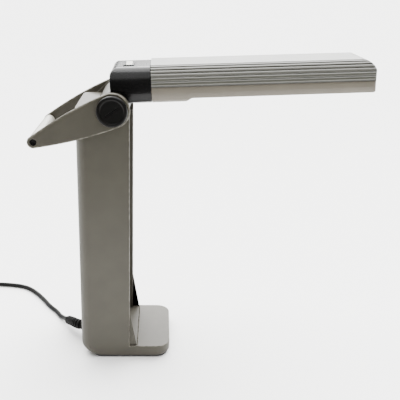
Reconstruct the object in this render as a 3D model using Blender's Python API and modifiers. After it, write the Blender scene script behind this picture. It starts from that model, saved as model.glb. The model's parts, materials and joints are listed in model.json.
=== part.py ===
"""Folding desk lamp with a carry handle.

A channel-section column stands on a foot. The lamp head hinges between two ears at the top of the
column and folds down into the channel. A handle of two cheeks and a round grip turns on the same
axle, outside the ears, and friction knobs clamp the stack.

Frame: origin at the centre of the rubber pad's underside, +X towards the lamp's tip, +Z up. Metres.
"""
import bpy
import bmesh
from math import asin, cos, degrees, radians, sin
from mathutils import Matrix, Vector

# ---- driving dimensions -------------------------------------------------------------------------
GAP = 0.0003                   # between pieces that touch
WALL = 0.003                   # moulded walls of the stand
WIDTH = 0.112                  # stand, across Y
COLUMN_DEPTH = 0.065           # stand column, along X
FOOT_REACH = 0.054             # foot in front of the column
FOOT_TOP = 0.0172
SHELL_BOTTOM = 0.0030
REAR_BOTTOM_RADIUS = 0.018
REAR_PLAN_RADIUS = 0.013
FOOT_PLAN_RADIUS = 0.018
BACK = -(COLUMN_DEPTH + FOOT_REACH) / 2
FRONT = BACK + COLUMN_DEPTH
TOE = FRONT + FOOT_REACH

EAR_RADIUS = 0.020
HINGE_X = FRONT - EAR_RADIUS
HINGE_Z = 0.340
COLUMN_TOP = HINGE_Z
AXLE_RADIUS = 0.005
BORE_RADIUS = AXLE_RADIUS + GAP
BUSH_HOLE = 0.0085              # radius of the ears' holes
BUSH_SLEEVE = 0.0082
BUSH_FLANGE = 0.0130
WASHER_RADIUS = 0.0150
CHANNEL_FLOOR = HINGE_X + 0.001
SADDLE_RADIUS = 0.0215
SADDLE_GAP = 0.0005            # between the liner's saddle and its pocket
LINER_WALL = 0.0022
LINER_INNER = 0.0478           # half the channel's width
LINER_LIP = 0.002              # thickness of its front flanges

PLATE_THICK = 0.0016           # steel base plate
PAD_INSET = 0.0025             # rubber pad, inside the stand's outline
BASE_SCREWS_X = (BACK + 0.028, TOE - 0.016)
BASE_SCREWS_Y = (-0.040, 0.040)

HEAD_TILT = radians(3.4)       # above the horizontal, at rest
HEAD_REACH = 0.3175
HEAD_HALF = 0.0445
HEAD_TOP = 0.0473
HEAD_SEAM = 0.0232
HEAD_BOTTOM = 0.0032
THIN_BOTTOM = 0.0083
COLLAR_BACK = -0.0022
COLLAR_FRONT = 0.0463
COLLAR_TOP = 0.0457
SHADE_WALL = 0.002
TIP_RADIUS = 0.016
BARREL_RADIUS = 0.019
BARREL_HALF = 0.0440
BARREL_WALL = 0.003
RIB_COUNT = 7
RIB_HEIGHT = 0.0007
WINDOW = (0.104, 0.304)        # light opening, along the head
WINDOW_HALF = 0.033
HEAD_SCREWS_X = (0.056, 0.078)
HEAD_SCREWS_Y = (-0.026, 0.026)

HANDLE_DROP = radians(23.2)    # below the horizontal, at rest
HANDLE_LENGTH = 0.1012
CHEEK_BIG = 0.021
CHEEK_SMALL = 0.0076
CHEEK_THICK = 0.004
CHEEK_INNER = WIDTH / 2 + 0.0016
KNOB_RADIUS = 0.0183
KNOB_THICK = 0.0065
GRIP_RADIUS = 0.007
TIE_RADIUS = 0.0030            # rod through the grip
TIE_HOLE = 0.0033
CHEEK_HOLE = 0.0042            # in the cheeks, round the rod and its end caps
END_CAP_RADIUS = 0.0039

FAR = 0.1                      # half length of a cutter that goes right through
CORD_DIAMETER = 0.0062
CORD_HOLE = 0.0063             # radius, in the stand's back wall
EXIT = Vector((BACK, -0.010, 0.023))

# ---- scene and small helpers --------------------------------------------------------------------
for old in list(bpy.data.objects):
    bpy.data.objects.remove(old, do_unlink=True)

LAMP = bpy.data.collections.new("folding_desk_lamp")
bpy.context.scene.collection.children.link(LAMP)


def material(name, colour, roughness, metallic=0.0):
    """A plain Principled material."""
    mat = bpy.data.materials.new(name)
    mat.use_nodes = True
    shader = mat.node_tree.nodes["Principled BSDF"]
    shader.inputs["Base Color"].default_value = (*colour, 1.0)
    shader.inputs["Roughness"].default_value = roughness
    shader.inputs["Metallic"].default_value = metallic
    return mat


def link(mesh, name="tmp"):
    """Put a mesh in the scene as an object."""
    obj = bpy.data.objects.new(name, mesh)
    LAMP.objects.link(obj)
    return obj


def bake(obj):
    """Replace an object by its evaluated mesh, with the caps of a curve welded."""
    bpy.context.view_layer.update()
    evaluated = obj.evaluated_get(bpy.context.evaluated_depsgraph_get())
    mesh = bpy.data.meshes.new_from_object(evaluated)
    bm = bmesh.new()
    bm.from_mesh(mesh)
    bmesh.ops.remove_doubles(bm, verts=bm.verts, dist=0.00002)
    bmesh.ops.recalc_face_normals(bm, faces=bm.faces)
    bm.to_mesh(mesh)
    bm.free()
    solid = link(mesh)
    solid.matrix_world = obj.matrix_world.copy()
    bpy.data.objects.remove(obj, do_unlink=True)
    return solid


def place(obj, matrix):
    """Move the mesh itself, so that the object's own transform stays free for the joint."""
    obj.data.transform(matrix @ obj.matrix_world)
    obj.matrix_world = Matrix.Identity(4)
    return obj


def box(low, high, bevel=0.0, segments=2):
    """A box between two corners, with its edges rounded."""
    size = Vector(high) - Vector(low)
    bm = bmesh.new()
    bmesh.ops.create_cube(bm, size=1.0)
    bmesh.ops.scale(bm, vec=size, verts=bm.verts)
    bmesh.ops.translate(bm, vec=(Vector(low) + Vector(high)) / 2, verts=bm.verts)
    mesh = bpy.data.meshes.new("tmp")
    bm.to_mesh(mesh)
    bm.free()
    obj = link(mesh)
    return rounded(obj, bevel, segments) if bevel else obj


def rounded(obj, width, segments=2, limit=35):
    """Round the sharp edges of an object."""
    mod = obj.modifiers.new("round", "BEVEL")
    mod.width = width
    mod.segments = segments
    mod.limit_method = "ANGLE"
    mod.angle_limit = radians(limit)
    mod.use_clamp_overlap = True
    return bake(obj)


def rod(start, end, radius, sides=32):
    """A round bar from one point to another."""
    start, end = Vector(start), Vector(end)
    way = end - start
    bm = bmesh.new()
    bmesh.ops.create_cone(bm, cap_ends=True, segments=sides, radius1=radius, radius2=radius,
                          depth=way.length)
    mesh = bpy.data.meshes.new("tmp")
    bm.to_mesh(mesh)
    bm.free()
    turn = Vector((0, 0, 1)).rotation_difference(way.normalized()).to_matrix().to_4x4()
    return place(link(mesh), Matrix.Translation((start + end) / 2) @ turn)


def turned(profile, start, way, steps=40):
    """A solid of revolution; profile holds (height, radius) pairs from the top down to the base."""
    mesh = bpy.data.meshes.new("tmp")
    points = [(radius, 0.0, height) for height, radius in profile]
    mesh.from_pydata(points, [(i, i + 1) for i in range(len(points) - 1)], [])
    obj = link(mesh)
    mod = obj.modifiers.new("turn", "SCREW")
    mod.steps = mod.render_steps = steps
    mod.use_merge_vertices = True
    mod.merge_threshold = 0.00001
    obj = bake(obj)
    turn = Vector((0, 0, 1)).rotation_difference(Vector(way).normalized()).to_matrix().to_4x4()
    return place(obj, Matrix.Translation(start) @ turn)


AXES = {
    "XZ": Matrix(((1, 0, 0, 0), (0, 0, -1, 0), (0, 1, 0, 0), (0, 0, 0, 1))),
    "YZ": Matrix(((0, 0, 1, 0), (1, 0, 0, 0), (0, 1, 0, 0), (0, 0, 0, 1))),
    "XY": Matrix.Identity(4),
}
NORMAL = {"XZ": Vector((0, 1, 0)), "YZ": Vector((1, 0, 0)), "XY": Vector((0, 0, 1))}


def slab(points, plane, low, high):
    """A flat outline drawn in one plane and carried from low to high along its normal."""
    curve = bpy.data.curves.new("tmp", "CURVE")
    curve.dimensions = "2D"
    curve.fill_mode = "BOTH"
    curve.extrude = (high - low) / 2
    spline = curve.splines.new("POLY")
    spline.points.add(len(points) - 1)
    for point, (u, v) in zip(spline.points, points):
        point.co = (u, v, 0.0, 1.0)
    spline.use_cyclic_u = True
    obj = bpy.data.objects.new("tmp", curve)
    LAMP.objects.link(obj)
    obj.matrix_world = Matrix.Translation(NORMAL[plane] * (low + high) / 2) @ AXES[plane]
    return place(bake(obj), Matrix.Identity(4))


def combine(obj, tool, operation):
    """One exact Boolean; the tool is used up."""
    mod = obj.modifiers.new("join", "BOOLEAN")
    mod.operation = operation
    mod.solver = "EXACT"
    mod.object = tool
    result = bake(obj)
    bpy.data.objects.remove(tool, do_unlink=True)
    return result


def cut(obj, *tools):
    for tool in tools:
        obj = combine(obj, tool, "DIFFERENCE")
    return obj


def fuse(obj, *tools):
    for tool in tools:
        obj = combine(obj, tool, "UNION")
    return obj


def common(obj, tool):
    return combine(obj, tool, "INTERSECT")


def name_node(obj, name, mat, pivot=None):
    """Name a finished piece, give it its material, and hang it on its pivot."""
    obj.name = name
    obj.data.name = name
    obj.data.materials.clear()
    obj.data.materials.append(mat)
    obj.data.shade_smooth()
    obj.data.set_sharp_from_angle(angle=radians(35))
    if pivot:
        obj.parent = pivot
    return obj


def name_nodes(objs, name, mat, pivot=None):
    """Name a set of like pieces name_1, name_2 and so on."""
    for number, obj in enumerate(objs, 1):
        name_node(obj, f"{name}_{number}", mat, pivot)


def pivot_at(name, location, turn_y=0.0):
    """An empty on a joint's axis."""
    empty = bpy.data.objects.new(name, None)
    LAMP.objects.link(empty)
    empty.location = location
    empty.rotation_euler = (0.0, turn_y, 0.0)
    empty.hide_render = True
    return empty


def arc(cu, cv, radius, start, end, steps):
    """Points on a circle, angles in degrees."""
    angles = [radians(start + (end - start) * i / steps) for i in range(steps + 1)]
    return [(cu + radius * cos(a), cv + radius * sin(a)) for a in angles]


GREY = material("warm_grey_plastic", (0.235, 0.225, 0.195), 0.5)
PALE = material("shade_grey_plastic", (0.47, 0.45, 0.40), 0.42)
PINKISH = material("lower_shell_plastic", (0.40, 0.37, 0.33), 0.45)
BLACK = material("gloss_black_plastic", (0.012, 0.012, 0.013), 0.22)
MATT = material("matt_black_plastic", (0.02, 0.02, 0.02), 0.5)
RUBBER = material("black_rubber", (0.015, 0.015, 0.015), 0.75)
STEEL = material("zinc_steel", (0.55, 0.55, 0.53), 0.35, 1.0)
COPPER = material("copper_winding", (0.45, 0.2, 0.09), 0.4, 1.0)
WHITE = material("white_enamel", (0.85, 0.85, 0.82), 0.3)
GLASS = material("lamp_glass", (0.92, 0.93, 0.92), 0.15)
CLEAR = material("clear_diffuser", (0.8, 0.83, 0.83), 0.1)
NYLON = material("natural_nylon", (0.7, 0.68, 0.6), 0.45)
BRASS = material("plated_pin", (0.75, 0.72, 0.6), 0.25, 1.0)


# ---- stand --------------------------------------------------------------------------------------
STEP = 0.0003                  # keeps faces of neighbouring cuts out of one plane


def stand_profile():
    """Side outline of the column, its ears and the foot; the plan outline trims both its ends."""
    back, toe = BACK - STEP, TOE + STEP
    rear = arc(BACK + REAR_BOTTOM_RADIUS, SHELL_BOTTOM + REAR_BOTTOM_RADIUS,
               REAR_BOTTOM_RADIUS + STEP, 269, 180, 8)
    ramp = EAR_RADIUS * 2 ** 0.5
    ear = arc(HINGE_X, HINGE_Z, EAR_RADIUS, 135, 0, 14)
    fillet = 0.004
    nose = arc(toe - fillet, SHELL_BOTTOM + fillet, fillet, 0, -90, 4)
    return rear + [(back, COLUMN_TOP), (HINGE_X - ramp, COLUMN_TOP)] + ear + [
        (FRONT, FOOT_TOP), (toe, FOOT_TOP)] + nose + [(BACK + REAR_BOTTOM_RADIUS, SHELL_BOTTOM)]


def plan_outline(inset=0.0, back=BACK, toe=TOE, square_front=False):
    """Plan of the stand, with its vertical edges rounded."""
    half = WIDTH / 2 - inset
    rear_r = REAR_PLAN_RADIUS - inset
    toe_r = FOOT_PLAN_RADIUS - inset
    low, high = back + inset, toe - inset
    if square_front:
        front = [(toe, -half), (toe, half)]
    else:
        front = (arc(high - toe_r, -half + toe_r, toe_r, 270, 360, 8)
                 + arc(high - toe_r, half - toe_r, toe_r, 0, 90, 8))
    return (arc(low + rear_r, -half + rear_r, rear_r, 180, 270, 7) + front
            + arc(low + rear_r, half - rear_r, rear_r, 90, 180, 7))


def make_stand_shell():
    """One moulding: back, side walls with ears, top plate and foot."""
    inner = WIDTH / 2 - WALL
    deep = CHANNEL_FLOOR - 0.005
    past, below = 0.01, -0.02      # how far cutters run beyond the shell
    pocket_depth, ears_top = 0.03, HINGE_Z + 0.04
    shell = slab(stand_profile(), "XZ", -WIDTH, WIDTH)
    shell = common(shell, slab(plan_outline(), "XY", 0.0, ears_top))
    # space between the ears, with the pocket for the head's barrel
    pocket = HINGE_X - SADDLE_RADIUS - SADDLE_GAP
    pocket_bottom = COLUMN_TOP - pocket_depth
    between = [(BACK - past, COLUMN_TOP - STEP), (pocket, COLUMN_TOP - STEP),
               (pocket, pocket_bottom), (FRONT + past, pocket_bottom),
               (FRONT + past, ears_top), (BACK - past, ears_top)]
    shell = cut(shell, slab(between, "XZ", STEP - inner, inner - STEP))
    # column hollow, open at the front, and the base hollow behind the channel
    column = slab(plan_outline(WALL, toe=FRONT + past, square_front=True), "XY",
                  FOOT_TOP - STEP, COLUMN_TOP - WALL)
    rear = arc(BACK + REAR_BOTTOM_RADIUS, SHELL_BOTTOM + REAR_BOTTOM_RADIUS,
               REAR_BOTTOM_RADIUS - WALL, 269, 191, 7)
    rear = ([(rear[0][0], below / 2)] + rear + [(deep, rear[-1][1]), (deep, below / 2)])
    base = common(slab(rear, "XZ", -WIDTH, WIDTH),
                  slab(plan_outline(WALL + STEP), "XY", below, EXIT.z * 2))
    foot = common(slab(plan_outline(WALL), "XY", below, FOOT_TOP - WALL),
                  box((BACK + REAR_BOTTOM_RADIUS + STEP, -WIDTH, below * 1.5),
                      (TOE + past, WIDTH, EXIT.z * 2)))
    shell = cut(shell, column, base, foot)
    shell = cut(shell, rod((HINGE_X, -WIDTH, HINGE_Z), (HINGE_X, WIDTH, HINGE_Z), BUSH_HOLE))
    through = Vector((past, 0, 0))
    shell = cut(shell, rod(EXIT - through, EXIT + through, CORD_HOLE, 24))
    return name_node(shell, "stand_shell", GREY)


def make_channel_liner():
    """Floor, two sides and front flanges of the channel, curved behind the head's barrel."""
    low, high = FOOT_TOP + GAP, HINGE_Z - SADDLE_RADIUS - SADDLE_GAP
    outer = LINER_INNER + LINER_WALL
    wide = WIDTH / 2 - WALL - GAP
    front, back = FRONT - 0.0004, CHANNEL_FLOOR - LINER_WALL
    lip = front - LINER_LIP
    half = [(back, outer), (lip, outer), (lip, wide), (front, wide),
            (front, LINER_INNER), (CHANNEL_FLOOR, LINER_INNER)]
    plan = half + [(x, -y) for x, y in reversed(half)]
    liner = slab(plan, "XY", low, high)
    saddle = (arc(HINGE_X, HINGE_Z, SADDLE_RADIUS, 272, 189, 14)
              + arc(HINGE_X, HINGE_Z, SADDLE_RADIUS + LINER_WALL, 189, 269, 14))
    liner = fuse(liner, slab(saddle, "XZ", -outer + 0.001, outer - 0.001))
    return name_node(liner, "channel_liner", GREY)


def screw(start, way, head_radius, head_height, shank_radius, length):
    """A pan-head screw; start is under its head, way points from the head to its tip."""
    taper = 0.001
    way = Vector(way).normalized()
    start = Vector(start)
    profile = [(length, 0.0), (length, shank_radius * 0.6), (length - taper, shank_radius),
               (0.0, shank_radius), (0.0, head_radius), (-head_height * 0.5, head_radius),
               (-head_height, head_radius * 0.6), (-head_height, 0.0)]
    return turned(profile, start, way, 16)


def make_base():
    """Steel plate, rubber pad and the screws between them and the shell."""
    low, high = SHELL_BOTTOM, SHELL_BOTTOM + PLATE_THICK
    above = 0.02
    plate_hole, pad_hole = 0.0018, 0.0045
    plate = slab(plan_outline(WALL + GAP), "XY", low, high)
    plate = common(plate, box((BACK + REAR_BOTTOM_RADIUS + GAP, -WIDTH, -above),
                              (TOE, WIDTH, above)))
    pad = slab(plan_outline(PAD_INSET, BACK + 0.014), "XY", 0.0, SHELL_BOTTOM - GAP)
    screws = []
    for x in BASE_SCREWS_X:
        for y in BASE_SCREWS_Y:
            plate = cut(plate, rod((x, y, -above), (x, y, above), plate_hole, 16))
            pad = cut(pad, rod((x, y, -above), (x, y, above), pad_hole, 20))
            screws.append(screw((x, y, low - GAP), (0, 0, 1), 0.0035, 0.0018, 0.0015, 0.0075))
    name_node(plate, "base_plate", STEEL)
    name_node(pad, "base_pad", RUBBER)
    name_nodes(screws, "base_screw", STEEL)


BALLAST_LOW = Vector((BACK + WALL + GAP, -0.0205, 0.046))
BALLAST_HIGH = Vector((BALLAST_LOW.x + 0.0335, 0.0205, 0.126))


def make_ballast():
    """Laminated choke on the column's back wall: mounting plate, core, winding and two screws."""
    low, high = BALLAST_LOW, BALLAST_HIGH
    sheet, lug = 0.0012, 0.012                      # plate thickness, and its reach past the core
    plate_top = low.x + sheet
    plate = box((low.x, low.y, low.z - lug), (plate_top, high.y, high.z + lug))
    core = box((plate_top + GAP, low.y, low.z), (high.x, high.y, high.z), 0.0008, 1)
    near, far, yoke, bulge = low.x + 0.008, high.x - 0.006, 0.012, 0.003
    core = cut(core, box((near, low.y - FAR, low.z + yoke), (far, high.y + FAR, high.z - yoke)))
    winding = box((near + GAP, low.y - bulge, low.z + yoke + GAP),
                  (far - GAP, high.y + bulge, high.z - yoke - GAP), 0.002, 2)
    screws = []
    for z in (low.z - lug / 2, high.z + lug / 2):
        plate = cut(plate, rod((low.x - sheet, 0, z), (low.x + 2 * sheet, 0, z), 0.0022, 16))
        screws.append(screw((plate_top + GAP, 0, z), (-1, 0, 0), 0.0036, 0.002, 0.0017,
                            sheet + GAP))
    name_node(plate, "ballast_plate", STEEL)
    name_node(core, "ballast_core", STEEL)
    name_node(winding, "ballast_winding", COPPER)
    name_nodes(screws, "ballast_screw", STEEL)


def make_terminals():
    """Three-way terminal block above the choke, with its clamp screws."""
    low = Vector((BACK + WALL + GAP, -0.016, 0.160))
    size = Vector((0.006, 0.032, 0.018))
    pitch, chimney, well, head = 0.010, 0.0038, 0.0024, 0.0020
    middle, bottom = low.z + size.z / 2, low.x + 0.009
    block = box(low, low + size, 0.0006, 1)
    screws = []
    for i in range(3):
        y = low.y + 0.006 + i * pitch
        block = fuse(block, rod((low.x + 0.004, y, middle), (low.x + 0.013, y, middle), chimney, 16))
        block = cut(block, rod((bottom, y, middle), (bottom + 0.011, y, middle), well, 12))
        screws.append(rod((bottom + GAP, y, middle), (bottom + 0.003, y, middle), head, 12))
    name_node(block, "terminal_block", NYLON)
    name_nodes(screws, "terminal_screw", BRASS)


# ---- mains cord and what is on it ---------------------------------------------------------------
def smooth_path(route, spacing):
    """Points at an even spacing on a Catmull-Rom curve through the route."""
    pts = [Vector(p) for p in route]
    pts = [2 * pts[0] - pts[1]] + pts + [2 * pts[-1] - pts[-2]]
    dense = []
    for a, b, c, d in zip(pts, pts[1:], pts[2:], pts[3:]):
        for i in range(24):
            t = i / 24
            dense.append(0.5 * ((2 * b) + (c - a) * t + (2 * a - 5 * b + 4 * c - d) * t * t
                                + (3 * b - a - 3 * c + d) * t ** 3))
    dense.append(pts[-2])
    total = sum((q - p).length for p, q in zip(dense, dense[1:]))
    count = max(2, round(total / spacing))
    step, want, walked, out = total / count, 0.0, 0.0, []
    for p, q in zip(dense, dense[1:]):
        length = (q - p).length
        while want <= walked + length and len(out) < count:
            out.append(p.lerp(q, (want - walked) / length))
            want += step
        walked += length
    return out + [dense[-1]]


def tube(path, radii, resolution=2):
    """A round tube along points; radii is one radius or one for each point."""
    if not isinstance(radii, list):
        radii = [radii] * len(path)
    curve = bpy.data.curves.new("tmp", "CURVE")
    curve.dimensions = "3D"
    curve.bevel_depth = 1.0
    curve.bevel_resolution = resolution
    curve.use_fill_caps = True
    spline = curve.splines.new("POLY")
    spline.points.add(len(path) - 1)
    for point, place_at, radius in zip(spline.points, path, radii):
        point.co = (*place_at, 1.0)
        point.radius = radius
    obj = bpy.data.objects.new("tmp", curve)
    LAMP.objects.link(obj)
    return bake(obj)


RELIEF_PLUG_RINGS = 8          # the plain stretch that fills the hole
RELIEF_PLUG_RADIUS = 0.0058
RELIEF_START, RELIEF_END = 0.0071, 0.0042
RELIEF_GROOVE = 0.70           # groove radius as a share of the rib's
RELIEF_ROUTE = [(BACK + 0.008, -0.010, 0.023), (BACK - 0.004, -0.0100, 0.0228),
                (BACK - 0.011, -0.0055, 0.0215), (BACK - 0.0175, 0.0040, 0.0185),
                (BACK - 0.0245, 0.0155, 0.0140), (BACK - 0.0310, 0.0270, 0.0095)]
CORD_ROUTE = [(BACK - 0.0312, 0.0273, 0.0094), (BACK - 0.0365, 0.0365, 0.0058),
              (BACK - 0.0435, 0.0470, 0.0034), (-0.1100, 0.0590, 0.0032), (-0.1235, 0.0765, 0.0032),
              (-0.1375, 0.0985, 0.0032), (-0.1520, 0.1180, 0.0032), (-0.1650, 0.1310, 0.0032),
              (-0.1780, 0.1385, 0.0032), (-0.1960, 0.1430, 0.0032), (-0.2140, 0.1450, 0.0032),
              (-0.2290, 0.1453, 0.0032), (-0.2432, 0.1453, 0.0032)]
COIL_PITCH = CORD_DIAMETER * 1.03
COIL_MIDDLE = 0.0372           # radius at the middle of the turns
COIL_BOTTOM_TURNS = 4
COIL_TOP_TURNS = 3
COIL_CENTRE = Vector((-0.2680, 0.1453 - COIL_MIDDLE - 1.5 * COIL_PITCH, 0.0))


def make_cord():
    """Ribbed strain relief, free cord, its coil, and the plug."""
    path = smooth_path(RELIEF_ROUTE, 0.0014)
    radii = []
    for i in range(len(path)):
        swell = RELIEF_START + (RELIEF_END - RELIEF_START) * i / (len(path) - 1)
        rib = (i % 5) in (0, 1, 2) and i > RELIEF_PLUG_RINGS
        radii.append(swell if rib else swell * RELIEF_GROOVE)
    radii[:RELIEF_PLUG_RINGS] = [RELIEF_PLUG_RADIUS] * RELIEF_PLUG_RINGS
    relief = tube(path, radii, 2)
    name_node(relief, "strain_relief", MATT)

    cord = tube(smooth_path(CORD_ROUTE, CORD_DIAMETER * 1.3), CORD_DIAMETER / 2, 2)
    name_node(cord, "mains_cord", MATT)

    half = COIL_BOTTOM_TURNS * COIL_PITCH / 2
    top_half = COIL_TOP_TURNS * COIL_PITCH / 2
    layer = CORD_DIAMETER
    height = layer + CORD_DIAMETER * 1.02
    inner, outer, floor, edge = COIL_MIDDLE - half, COIL_MIDDLE + half, 0.0001, 0.001
    profile = [(height, COIL_MIDDLE - top_half), (height, COIL_MIDDLE + top_half),
               (layer, outer), (edge, outer), (floor, outer - edge),
               (floor, inner + edge), (edge, inner), (layer, inner),
               (height, COIL_MIDDLE - top_half)]
    name_node(turned(profile, COIL_CENTRE, (0, 0, 1), 32), "cord_coil", MATT)


# ---- hinge stack --------------------------------------------------------------------------------
AXLE_IN_KNOB = 0.0035          # how deep the axle's ends sit in the knobs
RIM_HEIGHT = 0.0006            # the knob's rim above its face
RIM_INNER, RIM_OUTER, RIM_SHOULDER = 0.0030, 0.0012, 0.0016
COIN_SLOT = Vector((0.017, 0.0014, 0.0014))
COIN_SLOT_TURN = radians(35)


def disc(low, high, outer, inner):
    """A ring on the hinge axis between two Y values, in the stand's frame."""
    ring = rod((HINGE_X, low, HINGE_Z), (HINGE_X, high, HINGE_Z), outer, 40)
    if inner:
        ring = cut(ring, rod((HINGE_X, low - FAR, HINGE_Z), (HINGE_X, high + FAR, HINGE_Z),
                             inner, 32))
    return ring


def mirrored(low, high, side):
    """The same span of Y, on the near (-1) or far (+1) side."""
    return sorted((side * low, side * high))


def make_hinge():
    """Axle, flanged bushes, friction washers and the far cap."""
    half = WIDTH / 2
    reach = CHEEK_INNER + CHEEK_THICK + AXLE_IN_KNOB
    axle = rod((HINGE_X, -reach, HINGE_Z), (HINGE_X, reach, HINGE_Z), AXLE_RADIUS, 32)
    name_node(axle, "hinge_axle", STEEL)
    bushes, washers = [], []
    for side in (-1, 1):
        flange = disc(*mirrored(BARREL_HALF + GAP, half - WALL - GAP, side), BUSH_FLANGE, 0)
        sleeve = disc(*mirrored(half - WALL - 0.001, half, side), BUSH_SLEEVE, 0)
        bush = fuse(flange, sleeve)
        bore = rod((HINGE_X, -FAR, HINGE_Z), (HINGE_X, FAR, HINGE_Z), BORE_RADIUS, 32)
        bushes.append(cut(bush, bore))
        span = mirrored(half + GAP, CHEEK_INNER - GAP, side)
        washers.append(disc(*span, WASHER_RADIUS, BORE_RADIUS))
    name_nodes(bushes, "hinge_bush", NYLON)
    name_nodes(washers, "friction_washer", MATT)
    name_node(make_knob(1, None), "axle_cap_far", MATT)


def make_knob(side, pivot):
    """Low turned knob with a raised rim, a blind bore for the axle and a coin slot."""
    start = CHEEK_INNER + CHEEK_THICK + GAP
    face = KNOB_THICK - RIM_HEIGHT
    profile = [(face, 0.0), (face, KNOB_RADIUS - RIM_INNER),
               (KNOB_THICK, KNOB_RADIUS - RIM_INNER + RIM_HEIGHT),
               (KNOB_THICK, KNOB_RADIUS - RIM_OUTER), (face, KNOB_RADIUS - RIM_OUTER / 4),
               (KNOB_THICK - RIM_SHOULDER, KNOB_RADIUS), (RIM_HEIGHT, KNOB_RADIUS),
               (0.0, KNOB_RADIUS - RIM_HEIGHT), (0.0, 0.0)]
    out = Vector((0, side, 0))
    origin = out * start if pivot else out * start + Vector((HINGE_X, 0, HINGE_Z))
    knob = turned(profile, origin, out, 40)
    blind = AXLE_IN_KNOB + 2 * GAP
    knob = cut(knob, rod(origin - out * blind, origin + out * blind, BORE_RADIUS, 32))
    if pivot:
        slot = box(-COIN_SLOT / 2, COIN_SLOT / 2)
        middle = origin + out * (face - RIM_HEIGHT / 2)
        place(slot, Matrix.Translation(middle) @ Matrix.Rotation(COIN_SLOT_TURN, 4, "Y"))
        knob = cut(knob, slot)
    return knob


# ---- handle -------------------------------------------------------------------------------------
def cheek_outline():
    """Teardrop from the hinge (0, 0) back to the grip's axis at -HANDLE_LENGTH, sides bowed out."""
    drop, power, steps = CHEEK_BIG - CHEEK_SMALL, 1.8, 12
    side = []
    for i in range(steps + 1):
        u = i / steps
        side.append((-HANDLE_LENGTH * u, CHEEK_BIG - drop * u ** power))
    lean = degrees(asin(drop * power / HANDLE_LENGTH))
    end = arc(-HANDLE_LENGTH, 0.0, CHEEK_SMALL, 90 + lean, 270 - lean, 8)
    front = arc(0.0, 0.0, CHEEK_BIG, -82, 82, 16)
    return front + side + end[1:-1] + [(u, -w) for u, w in reversed(side)]


def make_handle(pivot):
    """Two cheeks, the grip with its tie rod, and the end caps; all in the handle's own frame."""
    centre = Vector((-HANDLE_LENGTH, 0.0, 0.0))
    for side, name in ((-1, "handle_cheek_near"), (1, "handle_cheek_far")):
        low, high = mirrored(CHEEK_INNER, CHEEK_INNER + CHEEK_THICK, side)
        cheek = rounded(slab(cheek_outline(), "XZ", low, high), 0.0009, 1, 50)
        cheek = cut(cheek, rod((0, -FAR, 0), (0, FAR, 0), BORE_RADIUS, 32),
                    rod((-HANDLE_LENGTH, -FAR, 0), (-HANDLE_LENGTH, FAR, 0), CHEEK_HOLE, 24))
        name_node(cheek, name, GREY, pivot)
    reach = CHEEK_INNER - GAP
    grip = rounded(rod(centre - Vector((0, reach, 0)), centre + Vector((0, reach, 0)),
                       GRIP_RADIUS, 32), 0.0006, 1)
    grip = cut(grip, rod(centre - Vector((0, FAR, 0)), centre + Vector((0, FAR, 0)), TIE_HOLE, 24))
    name_node(grip, "grip_tube", PALE, pivot)
    tie = CHEEK_INNER + 0.0010
    name_node(rod(centre - Vector((0, tie, 0)), centre + Vector((0, tie, 0)), TIE_RADIUS, 24),
              "grip_rod", STEEL, pivot)
    caps = []
    for side in (-1, 1):
        low, high = mirrored(tie + GAP, CHEEK_INNER + CHEEK_THICK - 0.0008, side)
        caps.append(rod((centre.x, low, 0), (centre.x, high, 0), END_CAP_RADIUS, 24))
    name_nodes(caps, "grip_end_cap", BLACK, pivot)


# ---- head ---------------------------------------------------------------------------------------
SHOULDER_REACH = 0.0165        # how far the rounded sides reach in over the top
RIB_FIRST, RIB_LAST = 86.0, 12.0               # degrees round the shoulder, from its top
RIB_CROWN, RIB_FOOT = 2.6, 3.6                 # half widths of a rib, in degrees
BEYOND = 0.06                  # cutters run this far to both sides of the head


def arch(half, top, seam, ribs=0, rib_height=0.0):
    """Upper half of the head's section: flat top and elliptical sides, with ribs along them."""
    reach = SHOULDER_REACH
    rise = top - seam
    middle = half - reach
    angles = [(90.0, 0.0)]
    for i in range(ribs):
        centre = RIB_FIRST - i * (RIB_FIRST - RIB_LAST) / (ribs - 1)
        for offset, height in ((RIB_FOOT, 0.0), (RIB_CROWN, 1.0), (-RIB_CROWN, 1.0), (-RIB_FOOT, 0.0)):
            angles.append((centre + offset, height))
    if not ribs:
        angles += [(90.0 - 90.0 * i / 8, 0.0) for i in range(1, 8)]
    angles.append((0.0, 0.0))
    right = []
    for angle, height in angles:
        a = radians(min(angle, 90.0))
        y, z = middle + reach * sin(a), seam + rise * cos(a)
        normal = Vector((sin(a) / reach, cos(a) / rise)).normalized()
        right.append((y + normal.x * rib_height * height, z + normal.y * rib_height * height))
    return right + [(-y, z) for y, z in reversed(right)]


def belly(inset=0.0):
    """Lower half of the head's section, tucked under."""
    side = [(0.0445, HEAD_SEAM), (0.0443, 0.0180), (0.0433, 0.0130), (0.0413, 0.0086),
            (0.0382, 0.0052), (0.0345, HEAD_BOTTOM)]
    side = [(y - inset, max(z, HEAD_BOTTOM + inset)) for y, z in side]
    return [(-y, z) for y, z in side] + list(reversed(side))


def make_barrel(pivot):
    """Hollow drum on the axle."""
    ends = BARREL_HALF
    barrel = rounded(rod((0, -ends, 0), (0, ends, 0), BARREL_RADIUS, 44), 0.0006, 1)
    hollow = ends - 0.004
    barrel = cut(barrel, rod((0, -hollow, 0), (0, hollow, 0), BARREL_RADIUS - BARREL_WALL, 28),
                 rod((0, -FAR, 0), (0, FAR, 0), BORE_RADIUS, 32),
                 box((0.004, -0.012, 0.004), (0.012, 0.012, 0.03)))
    name_node(barrel, "hinge_barrel", GREY, pivot)


SWITCH_X = 0.0200
SWITCH_Y = -0.0040
SWITCH_LONG = 0.0142           # half length of the rocker's well, across the head
SWITCH_WIDE = 0.0050


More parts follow.
